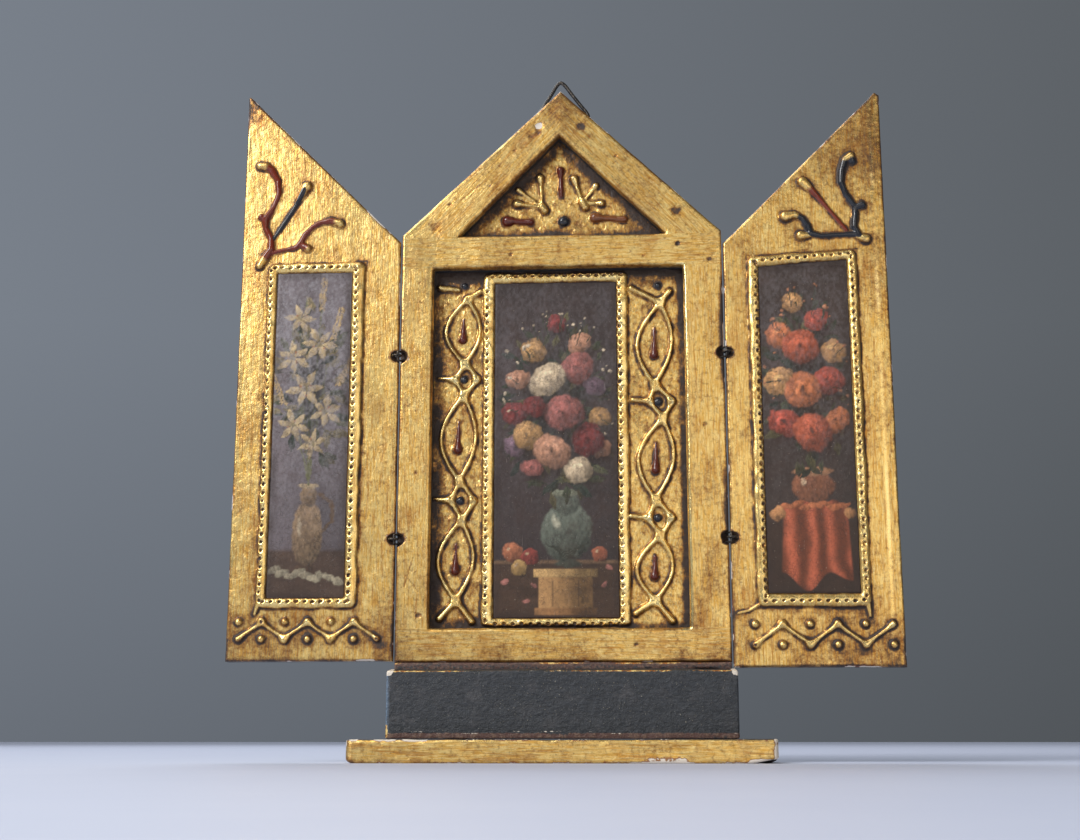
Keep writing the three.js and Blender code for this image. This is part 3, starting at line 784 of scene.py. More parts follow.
# Way, almond bulge, diamond bulge, how pointed its elbow is, arm.
SIDES = [(-1, 8.8, 4.4, 1.25, 11.4), (1, 6.2, 6.0, 0.82, 0)]
# Two sprays in the gable: root, knob, and drops with their tips and radii.
SPRAYS = [
    ((-8.6, 241.6), (-7.2, 239.6), [((-9.4, 256.8), 1.85), ((-20.4, 250.6), 1.25), ((-21.8, 243.2), 2.1)]),
    ((9.4, 243.2), (10.6, 240.8), [((5.0, 256.2), 2.05), ((16.4, 252.2), 1.6), ((19.6, 242.4), 1.75)]),
]


def rectangle(left, right, low, high, rise=0.0):
    return [(left, low), (right, low), (right, high + rise), (left, high)]


def drop(start, end, radius, neck=0.36, knob=0.0):
    """A piped drop: a slim neck, then a round bulb that ends at `end`. A knob may end the neck."""
    start, end = np.array(start, float), np.array(end, float)
    way = (end - start) / np.hypot(*(end - start))
    bulb, slim = end - way * radius, neck * radius
    thick = max(knob, slim)
    route = [(*(start + way * thick), thick, 1)] if knob else [(*(start + way * slim), 0.8 * slim, 1)]
    for share, wide in ((0.35, neck), (0.72, 0.55), (0.9, 0.88), (1, 1)):
        route.append((*mix(start, bulb, share), wide * radius, 1))
    return route


def column(relief, spec):
    """Strands that cross over and over, round an almond with a drop and a diamond with a stud in turn."""
    strands, drops, studs = [], [], []
    crossings = np.array(spec["crossings"])
    steps = np.linspace(0, 1, 15)
    for i, (high, low) in enumerate(zip(crossings, crossings[1:])):
        diamond = i % 2
        x, z = (high + low) / 2
        for way, almond_bulge, diamond_bulge, pointed, arm in SIDES:
            bulge = way * (diamond_bulge if diamond else almond_bulge)
            sway = bulge * ((1 - np.abs(2 * steps - 1)) ** pointed if diamond else np.sin(np.pi * steps))
            route = mix(high, low, steps[:, None]) + np.column_stack([sway, 0 * sway])
            thick = 1.0 + 0.2 * np.abs(np.cos(np.pi * steps)) ** 3 + 0.12 * diamond
            strands.append([(*p, r, 0) for p, r in zip(route, thick)])
            if diamond and arm:
                elbow, tip = np.array([(x + 0.8 * bulge, z), (x + way * arm, z + 0.8)])
                bends = zip((elbow, mix(elbow, tip, 0.4), tip), (1.7, 1.35, spec["arm_end"]))
                strands.append([(*p, r, 0) for p, r in bends])
            elif diamond:
                knuckle = x + 0.86 * bulge
                strands.append([(knuckle, z, 1.75, 0), (knuckle + 0.5, z, 1.5, 0)])
        if diamond:
            studs.append((x, z))
        else:
            x += (SIDES[1][1] - SIDES[0][1]) / 2
            half = 0.19 * (high[1] - low[1])
            drops.append(drop((x + 0.2, z + half + 0.6), (x - 0.2, z - half), 1.9))
    strands += [[(*start, 1.2, 0), (*end, 1.55, 0)] for start, end in spec["heads"]]
    strands += [[(*crossings[-1], 1.3, 0), (*end, 1.55, 0)] for end in spec["feet"]]
    relief.pipe(strands, 2.2, 1.3)
    relief.pipe(drops, 0.1, 1.1, PLUM)
    for x, z in studs:
        relief.dome(x, z, 1.7, 1.3, BLACK)
    relief.dome(*spec["stud"], 1.4, 1.2, BLACK)


def make_back_board():
    left, right, low, high = PICTURE
    under = rectangle(*PICTURE)
    # The cells are fine only where the openings show them.
    columns = [(-HALF, HIDDEN_CELL), (TALL[0][0] - 0.4, RECESS_CELL), (TALL[1][0] + 0.4, HIDDEN_CELL)]
    xs = spaced(columns, HALF, [left, right, 0])
    rows = [(BOTTOM, 2), (54.4, RECESS_CELL), (211.9, 2), (226, RECESS_CELL), (273, 2)]
    zs = spaced(rows, PEAK, [low, high, SHOULDER])
    flat, quads, parts = sheet_of_cells(xs, zs, RAKES, lambda p: within(p, PANEL) & ~within(p, under))
    # Under the picture the floor is one plain face.
    parts += [loop[::-1] for loop in rim_loops(quads, parts) if np.abs(flat[loop][:, 0]).max() < HALF - 1]
    x, z = flat.T
    n = noise_at(x, z)
    relief = Relief(flat, 40)
    relief.border(under, rectangle(*BORDER_OUTER), 1.7)
    for spec in COLUMNS:
        column(relief, spec)
    relief.row_of_holes((left - 3.4, low - 1), (left - 3.4, high - 4), 3.5, 61)
    relief.row_of_holes((right + 1.5, low - 1), (right + 1.5, high + 1), 3.5, 62)
    relief.row_of_holes((left - 1, high + 3.0), (right + 2, high + 3.0), 3.4, 63)
    relief.row_of_holes((left + 1, low - 2.4), (right, low - 2.4), 3.6, 64)
    for root, knob, tips in SPRAYS:
        twigs = [drop(root, tip, radius, 0.5) for tip, radius in tips]
        relief.pipe(twigs + [[(*root, 1.9, 0), (*knob, 1.9, 0)]], 1.4, 1.15)
    relief.pipe([drop((0, 245.2), (-0.4, 260.4), 1.75, 0.72)], 0.1, 1.1, PLUM)
    relief.pipe([drop((-12.0, 234.3), (-26.6, 235.3), 2.6, 0.5, 1.6)], 0.1, 1.0, PLUM)
    relief.pipe([drop((29.6, 234.9), (12.4, 236.2), 2.4, 0.55, 1.7)], 0.1, 1.0, linear(118, 70, 40))
    relief.dome(1, 234.6, 2.5, 1.8, BLACK)
    ground = relief.height < BARE_GROUND
    relief.height += ground * (0.16 * n(3.5, 51, 3) + 0.07 * n(1.1, 57, 2)) - 0.05 + 0.04 * n(1.3, 52, 2)
    # Toning: soot in the crevices beside each line and along the frame's walls.
    upper = z > 220
    wall = to_segments(flat, TALL).min(0)
    wall = np.where(upper, np.minimum(wall, to_segments(flat, GABLE).min(0)), wall)
    # Toning: dark wash in the crevices beside each line, and dark wash with painted shadow along the walls.
    wash_and_shade = 0.12 + 0.34 * n(6, 53, 3) + 0.18 * n((1.4, 2.6), 58, 2)
    wash_and_shade += 0.85 * band(relief.rim - 0.1, 0.1, 1.2) * (0.75 + 0.35 * n(3, 54))
    # Painted shadow and dark wash by the frame's walls, widest on the left and in the gable, as lit from the
    # upper left.
    wall_shadow_and_wash = fade(wall, 1.0, np.where(upper | (x < 0), 7.0, 3.6))
    wash_and_shade += 1.05 * wall_shadow_and_wash * (ground | (wall < 2.0)) * unit(0.95 + 0.4 * n(9, 55))
    # Painted shadow under the top of the tall opening.
    wash_and_shade += 0.6 * fade(211.5 - z, 2, 11) * ground * (z < 215)
    wash_and_shade += 0.35 * band(z - 226.4, 1, 3)
    wash_and_shade += 1.5 * relief.pit - 0.95 * unit(relief.crest * 1.6 - 0.25)
    # Rubbed crests: wear, with a painted highlight along them.
    rubbed_and_highlight = unit(relief.crest * 1.5 - 0.45) * unit(0.8 + 0.5 * n(5, 56))
    rubbed_and_highlight += 0.35 * ground * unit(n((3, 7), 59, 2) * 1.4)
    board_piece(
        "back_board_relief", "centre", "back_board", (flat, quads, parts), FLOOR, BACK,
        relief.height, {"tone": tone_of(np.clip(wash_and_shade, 0, 1.25), rubbed_and_highlight), "lacquer": relief.lacquer},
        [GILT_RECESS, GILT_WALL, PAINT_BACK],
    )


# ---- The wings, drawn with u from the hinge edge outwards and v from the wing's own bottom up ----

WIDTH, WING_SHOULDER, TIP = 69.5, 184.0, 254.0
INNER, INNER_BACK = -1.2, -0.4  # where the hinge edge is at the front and at the back
WING_DEPTH = 8
EDGE_X = 71.8
CLOSED_GAP = 2.3  # room for relief between a closed wing and the panel
LOW_RELIEF = 1.9  # relief above this is flattened
GOLD = None  # relief left gilded, with no paint
# Each wing: which side of the axis and how high its bottom is; how far its tip is blunted; the picture's
# # edges and the rise of its top; the border strip's width outside each of those edges; the painted grey
# # glare on the picture's varnish; painted branches; the zigzag's start, pitch, number of turns, low and
# # high; holes in its turns; where the holes run across each side of the strip; and spurs off the zigzag.
WINGS = {
    "left": {
        "side": -1, "bottom": 41.1, "blunt": 1.2, "picture": (20, 53, 26.4, 169, 0), "strip": (6, 4.6, 4.9, 5),
        "bloom": 0.42,
        "branches": [
            (RED, [
                (61.4, 172.6, 1.72, 0), (59.2, 176.4, 1.89, 0.6), (56.6, 180.4, 1.63, 1),
                (56.8, 185.5, 1.25, 1), (59.4, 190.5, 1.16, 1), (59.6, 194.4, 1.9, 1), (56.2, 200, 1.05, 1),
                (54, 206, 1.2, 1), (54.6, 212.5, 1.2, 1), (57.6, 217.6, 1.55, 0.9), (60.2, 219.2, 2, 0.35),
                (62.6, 219.4, 2, 0),
            ]),
            (RED, [(60, 194.8, 1.7, 1), (61.4, 195.4, 1.8, 0.8)]),
            (GOLD, [(46.4, 201, 0.8, 0), (43, 206.8, 1.9, 0), (41.4, 209.4, 2.45, 0)]),
            (BLACK, [
                (56.2, 184.4, 0.77, 1), (48.6, 196.6, 0.73, 1), (43.4, 205.4, 0.95, 1), (42.4, 207.6, 0.99, 1),
            ]),
            (RED, [
                (56.6, 178.6, 0.95, 1), (50.5, 180, 0.73, 1), (45.6, 181, 0.95, 1), (43.2, 183.4, 1.38, 1),
                (41.6, 187, 1.16, 1), (38.2, 190.6, 1.03, 1), (34.2, 192.6, 1.12, 1), (30.4, 193.2, 1.5, 0.8),
                (26, 191.8, 1.95, 0.2),
            ]),
            (RED, [(42.8, 182.2, 1.2, 1), (39.9, 180.2, 1.63, 0.45)]),
        ],
        "zigzag": (64.2, -9.77, 7, 9.2, 16.4), "holes_in": [(1, 0.9), (6, 0.6)],
        "hole_line": (0.34, 0.62, 0.5, 0.34),
        "spurs": [
            [(54.5, 25, 0.5), (48, 23.2, 0.8), (43.6, 22.8, 0.5)], [(56.4, 23.6, 1.4), (57.6, 19.8, 0.9)],
        ],
    },
    "right": {
        "side": 1, "bottom": 38.2, "blunt": 3.4, "picture": (13.7, 51.8, 30.2, 171.7, 2.6),
        "strip": (4.9, 4.8, 6, 4.9), "bloom": 0.12,
        "branches": [
            (BLACK, [
                (57.6, 185.6, 1.46, 1), (55.8, 189.2, 1.46, 1), (56.6, 194.6, 1.38, 1), (56.4, 198.6, 1.38, 1),
                (52.8, 204, 1.25, 1), (51, 209.6, 1.33, 1), (51.4, 215.2, 1.5, 1), (53, 220.2, 1.7, 0.5),
                (55.6, 221.8, 1.9, 0.3), (56.2, 219.6, 1.7, 0.8),
            ]),
            (BLACK, [(57.2, 198.2, 1.55, 1), (59.7, 199.2, 1.81, 1)]),
            (GOLD, [(56.8, 185.2, 1.3, 0), (60.6, 183.4, 2.2, 0)]),
            (RED, [
                (52.4, 187.6, 0.73, 1), (46.6, 195.4, 0.73, 1), (40.4, 203.4, 1.03, 1), (37.2, 207, 1.9, 0.5),
                (34.3, 210, 2.5, 0),
            ]),
            (BLACK, [
                (56.6, 185.8, 1.29, 1), (48, 185.6, 1.03, 1), (41.4, 185.2, 1.12, 1), (37, 186.4, 1.46, 1),
                (35.8, 190, 1.38, 1), (33.6, 193.4, 1.2, 1), (30.2, 195, 1.9, 0.2), (26.2, 194.2, 2.6, 0),
            ]),
            (GOLD, [(36.4, 185.6, 1.3, 0), (32.6, 185.4, 2.3, 0)]),
        ],
        "zigzag": (7.9, 11.3, 6, 9.1, 17.6), "holes_in": [(0, 0.7)],
        "hole_line": (0.5, 0.45, 0.5, 0.24),
        "spurs": [
            [(9.8, 25.6, 1), (5.6, 23.2, 0.6), (1.2, 22.2, 0.45)], [(54.4, 27, 1.5), (55.2, 20.8, 0.7)],
        ],
    },
}


def zigzag(relief, start, pitch, count, low, high):
    """A line piped from turn to turn, with a stud in the mouth of each of its first six turns."""
    turns = [(start + i * pitch, high if i % 2 else low) for i in range(count)]
    legs = []
    for i, (a, b) in enumerate(zip(np.array(turns), np.array(turns[1:]))):
        sag = np.array([0.0, -0.18 if i % 2 else 0.18])
        points = [a, mix(a, b, 0.3) + sag, mix(a, b, 0.55), mix(a, b, 0.8) - sag, b]
        legs.append([(*p, r, 0) for p, r in zip(points, (1.55, 0.95, 0.78, 1.0, 1.55))])
    relief.pipe(legs, 1.6, 1.05)
    for i, (u, v) in enumerate(turns[:6]):
        relief.dome(u, low + high - v, 1.75 + 0.12 * math.sin(3 * i), 1.45)
    return turns


def make_wing(name, spec):
    side, bottom, blunt, strip = spec["side"], spec["bottom"], spec["blunt"], spec["strip"]
    near, far, low, high, rise = spec["picture"]
    cut = (WIDTH - 0.6 * blunt, TIP - 0.6 * blunt)
    outline = [(INNER, 0), (WIDTH, 0), (WIDTH, TIP - blunt), cut, (INNER, WING_SHOULDER + INNER)]
    placed = [(side * (EDGE_X + u), bottom + v) for u, v in outline]
    corners = placed[::side]
    across, up = zip(*corners)
    xs = spaced([(min(across), WING_CELL)], max(across), across)
    zs = spaced([(bottom, WING_CELL)], max(up), up)
    slopes = [(placed[2], placed[3]), (placed[4], placed[3])]
    sheet = sheet_of_cells(xs, zs, slopes, lambda p: within(p, corners))
    x, z = sheet[0].T
    u, v = side * x - EDGE_X, z - bottom
    local = np.column_stack([u, v])
    seed = 200 if side < 0 else 300
    n = noise_at(u, v, seed)
    relief = Relief(local, seed)
    inner = rectangle(near, far, low, high, rise)
    outer = rectangle(near - strip[0], far + strip[1], low - strip[2], high + strip[3], rise)
    relief.border(inner, outer, 1.65, 3.2)
    for k, ((a, b), edge) in enumerate(zip(sides_of(inner), (2, 1, 3, 0))):
        a, b = np.array(a, float), np.array(b, float)
        along = (b - a) / np.hypot(*(b - a))
        out = np.array([along[1], -along[0]]) * strip[edge] * spec["hole_line"][k]
        relief.row_of_holes(a + out - along * 1.2, b + out + along * 1.2, 3.5 if k % 2 else 3.4, seed + k)
    for paint, route in spec["branches"]:
        relief.pipe([route], tall=1.05, paint=paint)
    turns = zigzag(relief, *spec["zigzag"])
    for i, radius in spec["holes_in"]:
        relief.hole(*turns[i], radius, 0.6)
    relief.pipe([[(*p, r, 0) for *p, r in spur] for spur in spec["spurs"]], 0.4, 0.9)
    over = np.maximum(relief.height - LOW_RELIEF, 0)
    relief.height = np.minimum(np.minimum(relief.height, LOW_RELIEF) + 0.4 * over, CLOSED_GAP)
    ground = relief.height < BARE_GROUND
    relief.height += ground * (0.10 * n((6, 14), 11, 3) - 0.08)
    edge = to_segments(local, outline).min(0)
    relief.height -= rounded_off(edge, 0.5 + 0.6 * unit(0.5 + 0.5 * n(9, 12, 3)))
    if side > 0:
        relief.height -= 0.13 * np.clip(4.6 - (WIDTH - u), 0, 4.6)
    height, dent = hinge_dents(x, z, 3.4, 2.7, relief.height, FRONT)
    # Toning.
    wash_and_shade = 0.06 + 0.22 * n((9, 20), 13, 3) + 0.10 * n(2.2, 22, 2)
    wash_and_shade += 0.74 * band(relief.rim - 0.15, 0.1, 1.0) * (0.8 + 0.4 * n(3, 14))
    wash_and_shade += 0.34 * fade(relief.rim, 0.4, 4.2) * unit(0.5 + n(5, 15, 2))
    wash_and_shade += 0.42 * fade(v, 8, 40) * unit(0.75 + 0.6 * n(12, 16))
    wash_and_shade += 0.62 * fade(edge, 0.2, 1.6) * unit(0.7 + n(12, 17, 2))
    if side < 0:
        wash_and_shade += 0.30 * fade(TIP - v - 0.6 * (WIDTH - u), 4, 30)
        wash_and_shade += 0.5 * spot(u - 67, v - 246, 3, 10) * unit(0.6 + 1.2 * n(3, 23, 2))
    else:
        wash_and_shade += 0.30 * spot(u - 58, v - 222, 8, 34) + 0.12 * fade(WIDTH - u, 2, 14)
    wash_and_shade += 1.5 * relief.pit - 0.9 * unit(relief.crest * 1.6 - 0.25)
    wash_and_shade = np.maximum(wash_and_shade, 1.1 * fade(dent, -0.3, 0.5))
    # Rubbed crests: wear, with a painted highlight along them.
    rubbed_and_highlight = 0.8 * unit(relief.crest * 1.5 - 0.45) * unit(0.7 + 0.5 * n(5, 18))
    rubbed_and_highlight += 0.5 * band(edge - 1.3, 0, 1.1) * unit(0.4 + n(10, 19, 2))
    rubbed_and_highlight += 0.3 * unit(n((10, 40), 20, 2)) * ground * (v > 40)
    chips = fade(edge, -0.2, 1.0) * unit(n(6, 21, 2) * 1.6 - 0.25)
    chips = np.maximum(chips, 0.42 * band(dent - 0.5, 0.1, 0.6))
    if side > 0:
        # A painted highlight along the arris of the right wing's chamfered outer edge.
        rubbed_and_highlight += 0.95 * band(WIDTH - u - 4.9, 0.3, 1.5) * unit(0.7 + 0.6 * n(18, 24, 2))
    else:
        chips = np.maximum(chips, band(u - 10, 2, 6) * fade(edge, 0.2, 1.1))
        wash_and_shade += 0.55 * spot(u - 2, v - 3, 2.5, 7)

    def warp(points):
        outer_sides = [line for line in sides_of(corners) if abs(line[0][0] + line[1][0]) > 2 * EDGE_X + 1]
        return wavy(points, outer_sides, 0.22, seed + 30)

    def taper(points, share):
        hinge_side = np.abs(points[:, 0]) < EDGE_X + INNER + 0.6
        return points + np.outer(hinge_side, (side * (INNER_BACK - INNER) * share, 0))

    tone = tone_of(np.clip(wash_and_shade, 0, 1.25), unit(rubbed_and_highlight), chips)
    board_piece(
        f"{name}_wing_gilded", f"{name}_wing", f"{name}_wing", sheet, FRONT, FRONT + WING_DEPTH,
        height, {"tone": tone, "lacquer": relief.lacquer}, [GILT, GILT_WALL, PAINT_BACK], warp, taper=taper,
    )


# ---- The pictures: flower pieces painted on the printed paper ----


LEAF_GREENS = [linear(62, 72, 46), linear(84, 88, 54), linear(46, 62, 50), linear(98, 92, 50)]


class Painting:
    """A picture painted on a sheet's points, from the ground up. x and z are mm from its lower left."""

    def __init__(self, x, z, ground, seed):
        # The brush wanders: every edge is a little uneven.
        self.x = x + 0.45 * noise(x, z, 2.6, seed + 1, 2) + 0.16 * noise(x, z, 0.8, seed + 5)
        self.z = z + 0.45 * noise(x, z, 2.6, seed + 2, 2) + 0.16 * noise(x, z, 0.8, seed + 6)
        self.seed = seed
        self.rng = np.random.RandomState(seed)
        self.ink = np.tile(np.array(ground, float), (len(x), 1))

    def shade(self, amount):
        self.ink *= np.asarray(amount)[:, None]

    def lay(self, cover, colour):
        self.ink += (np.asarray(colour) - self.ink) * unit(cover)[:, None]

    def blob(self, cx, cz, rx, rz, turn, colour, soft=0.35, light=0.55, pointed=0.0, most=1.0):
        """A shaded oval, lit from the upper left. A pointed one narrows to its ends along rx."""
        size = max(rx, rz)
        some = np.flatnonzero((np.abs(self.x - cx) < size * 1.3) & (np.abs(self.z - cz) < size * 1.3))
        if not len(some):
            return
        n = noise_at(self.x[some], self.z[some], self.seed)
        dx, dz = self.x[some] - cx, self.z[some] - cz
        c, s = math.cos(turn), math.sin(turn)
        u, v = (dx * c + dz * s) / rx, (dz * c - dx * s) / rz
        d = np.hypot(u, v / np.maximum(1 - pointed * np.abs(u) ** 1.5, 0.05)) + 0.25 / size * n(1.4, 3)
        lit = np.clip((-0.5 * dx + 0.8 * dz) / size, -1, 1)
        tint = unit(np.outer(1 + light * lit + 0.24 * n((0.8, 1.5), 4), colour))
        self.ink[some] += (tint - self.ink[some]) * (most * fade(d, 1 - soft, 1.0))[:, None]

    def line(self, route, width, colour, soft=0.4):
        points = np.column_stack([self.x, self.z])
        self.lay(fade(to_segments(points, route, closed=False).min(0), width * (1 - soft), width), colour)

    def leaf(self, x, z, length, turn, colour):
        way = np.array([math.cos(turn), math.sin(turn)])
        self.blob(*((x, z) + 0.5 * length * way), length / 2, length * 0.19, turn, colour, 0.3, 0.45, 0.9)
        self.line([(x, z), (x, z) + 0.9 * length * way], 0.22, np.array(colour) * 0.55)

    def bloom(self, x, z, size, colour, petals=7, heart=None):
        """A full flower of ringed petals, lit from the upper left and dark between the rings."""
        colour = np.array(colour)
        rng = self.rng
        self.blob(
            x + 0.3 * size, z - 0.4 * size, size * 1.2, size * 1.1, 0, colour * 0.06, 0.8, 0.0, most=0.85,
        )
        lean, squash = rng.uniform(-0.9, 0.9), rng.uniform(0.70, 1.0)
        c, s = math.cos(lean), math.sin(lean)
        # Each ring's reach, its petals' length, width and number, and its tint.
        for reach, long, wide, count, tint in (
            (0.66, 0.46, 0.32, petals + 2, 0.72), (0.46, 0.38, 0.27, petals, 0.95),
            (0.27, 0.30, 0.20, petals - 2, 1.15), (0.11, 0.20, 0.13, 3, 1.0),
        ):
            first = rng.uniform(0, 6.28)
            for k in range(count):
                turn = first + 6.283 * k / count + rng.uniform(-0.15, 0.15)
                far = size * reach * rng.uniform(0.88, 1.1)
                out, up = far * math.cos(turn), far * squash * math.sin(turn)
                lit = tint * rng.uniform(0.78, 1.2)
                lit *= 1 + 0.35 * (0.8 * math.sin(turn + lean) - 0.5 * math.cos(turn + lean))
                self.blob(
                    x + out * c - up * s, z + out * s + up * c, size * long, size * wide * squash,
                    turn + lean + 1.57, unit(colour * lit), 0.45, 0.6,
                )
            self.blob(x, z, size * reach, size * reach * squash, lean, colour * 0.22, 0.95, 0.0, most=0.75)
        heart = colour * 0.3 if heart is None else heart
        self.blob(x - 0.06 * size, z + 0.1 * size, size * 0.17, size * 0.13, lean, heart, 0.8, 0.5, most=0.8)

    def stems(self, foot, tips, rise, width, colour):
        for tip in tips:
            bend = (mix(foot[0], tip[0], 0.35), mix(foot[1], tip[1], rise))
            self.line([foot, bend, tip], width, colour)

    def foliage(self, cx, cz, wide, tall, count, greens, length=(5, 10)):
        """A dark mass of leaves, thinner towards its edge."""
        self.blob(cx, cz, wide * 1.05, tall * 1.05, 0, np.array(greens[2]) * 0.22, 0.9, 0.0, most=0.85)
        for k in range(count):
            turn, reach = self.rng.uniform(0, 6.28), self.rng.uniform(0.1, 1.0) ** 0.6
            x, z = cx + wide * reach * math.cos(turn), cz + tall * reach * math.sin(turn)
            green = np.array(greens[self.rng.randint(len(greens))]) * self.rng.uniform(0.45, 1.1)
            self.leaf(x, z, self.rng.uniform(*length), turn + self.rng.uniform(-0.9, 0.9), green)

    def spray(self, cx, cz, wide, tall, count, colour):
        """Small buds round the edge of a bunch."""
        for k in range(count):
            turn, reach = self.rng.uniform(-0.4, 3.5), self.rng.uniform(0.85, 1.12)
            size = self.rng.uniform(0.5, 1.0)
            x, z = cx + wide * reach * math.cos(turn), cz + tall * reach * math.sin(turn)
            self.line([(mix(cx, x, 0.8), mix(cz, z, 0.8)), (x, z)], 0.25, np.array(LEAF_GREENS[0]) * 0.6)
            self.blob(x, z, size, size, 0, np.array(colour) * self.rng.uniform(0.6, 1.1), 0.5, 0.6)


def centre_painting(x, z):
    n = noise_at(x, z)
    p = Painting(x, z, linear(62, 50, 50), 71)
    p.shade(1.0 + 0.25 * n((14, 20), 72, 3) + 0.35 * spot(x - 18, z - 96, 4, 46))
    # A stone ledge with a moulded block on it.
    p.lay(fade(z - 24 + 0.4 * noise(x, x * 0, 8, 73), -0.6, 0.6), linear(84, 58, 40))
    p.lay(band(z - 23.4, 0.2, 1.2) * 0.8, linear(150, 112, 74))
    p.shade(1 + 0.22 * n((7, 2.5), 74, 3) * (z < 24))
    block = [
        (10, 7, 11.5, linear(190, 138, 68)), (18.75, 1.75, 13.6, linear(216, 168, 88)),
        (2.5, 1.5, 13.2, linear(164, 112, 52)),
    ]
    for middle, tall, half, colour in block:
        inside = band(x - 30.5, half - 0.4, half + 0.3)
        inside *= band(z - middle, tall - 0.3, tall + 0.3)
        round_shade = 1.15 - 0.75 * np.clip((x - 26) / half, -0.4, 1.0) + 0.16 * n(2.4, 75, 3)
        p.lay(inside, np.outer(round_shade, colour))
    panel = band(np.abs(x - 30.5) - 5.5, 0.1, 0.5) * band(z - 10, 5, 6)
    p.lay(0.7 * panel, linear(96, 66, 38))
    # A round-bellied vase with a foot and a wide lip.
    body = linear(96, 106, 92)
    p.blob(31.5, 22.6, 6.6, 2.0, 0, linear(74, 80, 66), 0.3, 0.5)
    p.blob(31, 36, 11.6, 13.4, 0, body, 0.12, 0.75)
    p.blob(31, 48.5, 6.2, 6.0, 0, np.array(body) * 0.9, 0.25, 0.6)
    p.blob(31, 52.8, 7.6, 1.9, 0, linear(132, 138, 112), 0.3, 0.5)
    p.blob(26.6, 40.5, 2.1, 4.8, 0.35, linear(196, 194, 164), 0.9, 0.1)
    for k in range(5):
        rib = [(22 + 1.2 * k, 31 - 0.7 * k), (31, 28 - 0.9 * k), (40 - 1.2 * k, 31 - 0.7 * k)]
        p.line(rib, 0.28, linear(56, 60, 46), 0.6)
    # Leaves behind the blooms.
    p.foliage(27, 90, 21, 38, 120, LEAF_GREENS)
    for k in range(9):
        turn = -1.57 + 0.42 * (k - 4) + (3.14 if k % 2 else 0)
        p.leaf(31 + 2.0 * (k - 4), 57 + 0.6 * (k % 3), 10, turn, LEAF_GREENS[k % 4])
    rose, peach, cream = linear(166, 88, 78), linear(196, 134, 96), linear(206, 180, 140)
    ochre, crimson, mauve = linear(184, 134, 64), linear(128, 40, 38), linear(116, 88, 104)
    for bx, bz, size, colour in (
        (43, 100, 5.4, mauve), (8.5, 88, 5.6, crimson), (17, 116, 5.2, ochre), (37, 119, 5.2, peach),
        (27, 128, 4.4, crimson), (10, 103, 5.4, peach), (46, 86, 5.0, ochre), (36, 108, 6.8, rose),
        (9, 74, 5.2, mauve), (46, 72, 4.6, peach), (23, 103, 8.6, cream), (14, 78, 7.0, ochre),
        (40.5, 76, 7.4, crimson), (29.5, 88, 9.2, rose), (17.5, 91, 5.2, crimson), (25, 71, 8.0, peach),
        (36, 63, 6.0, cream), (16, 64, 5.0, rose),
    ):
        p.bloom(bx, bz, 1.14 * size, colour)
    p.spray(27, 92, 23, 40, 34, linear(206, 184, 150))
    # Fruit and fallen petals on the ledge.
    for fx, fz, size, colour in (
        (8, 27.5, 5.2, linear(178, 98, 52)), (15.4, 25.6, 4.2, linear(150, 52, 40)),
        (10.6, 20.8, 3.9, linear(184, 142, 66)), (45, 26.4, 3.8, linear(168, 84, 46)),
    ):
        p.blob(fx + 0.8, fz - 1.0, size, size * 0.9, 0, linear(34, 22, 20), 0.7, 0.0)
        p.blob(fx, fz, size * 0.95, size * 0.92, 0, colour, 0.15, 0.8)
        glint = (fx - 0.3 * size, fz + 0.35 * size)
        p.blob(*glint, size * 0.22, size * 0.16, 0.4, linear(226, 190, 140), 0.8, 0.0)
    for fx, fz, turn in ((4.5, 15, 0.4), (17, 13.5, -0.5), (14, 7, 0.2), (47, 14, 1.0), (49, 21, -0.4)):
        p.blob(fx, fz, 1.9, 1.1, turn, linear(186, 112, 98), 0.3, 0.6)
    return p.ink


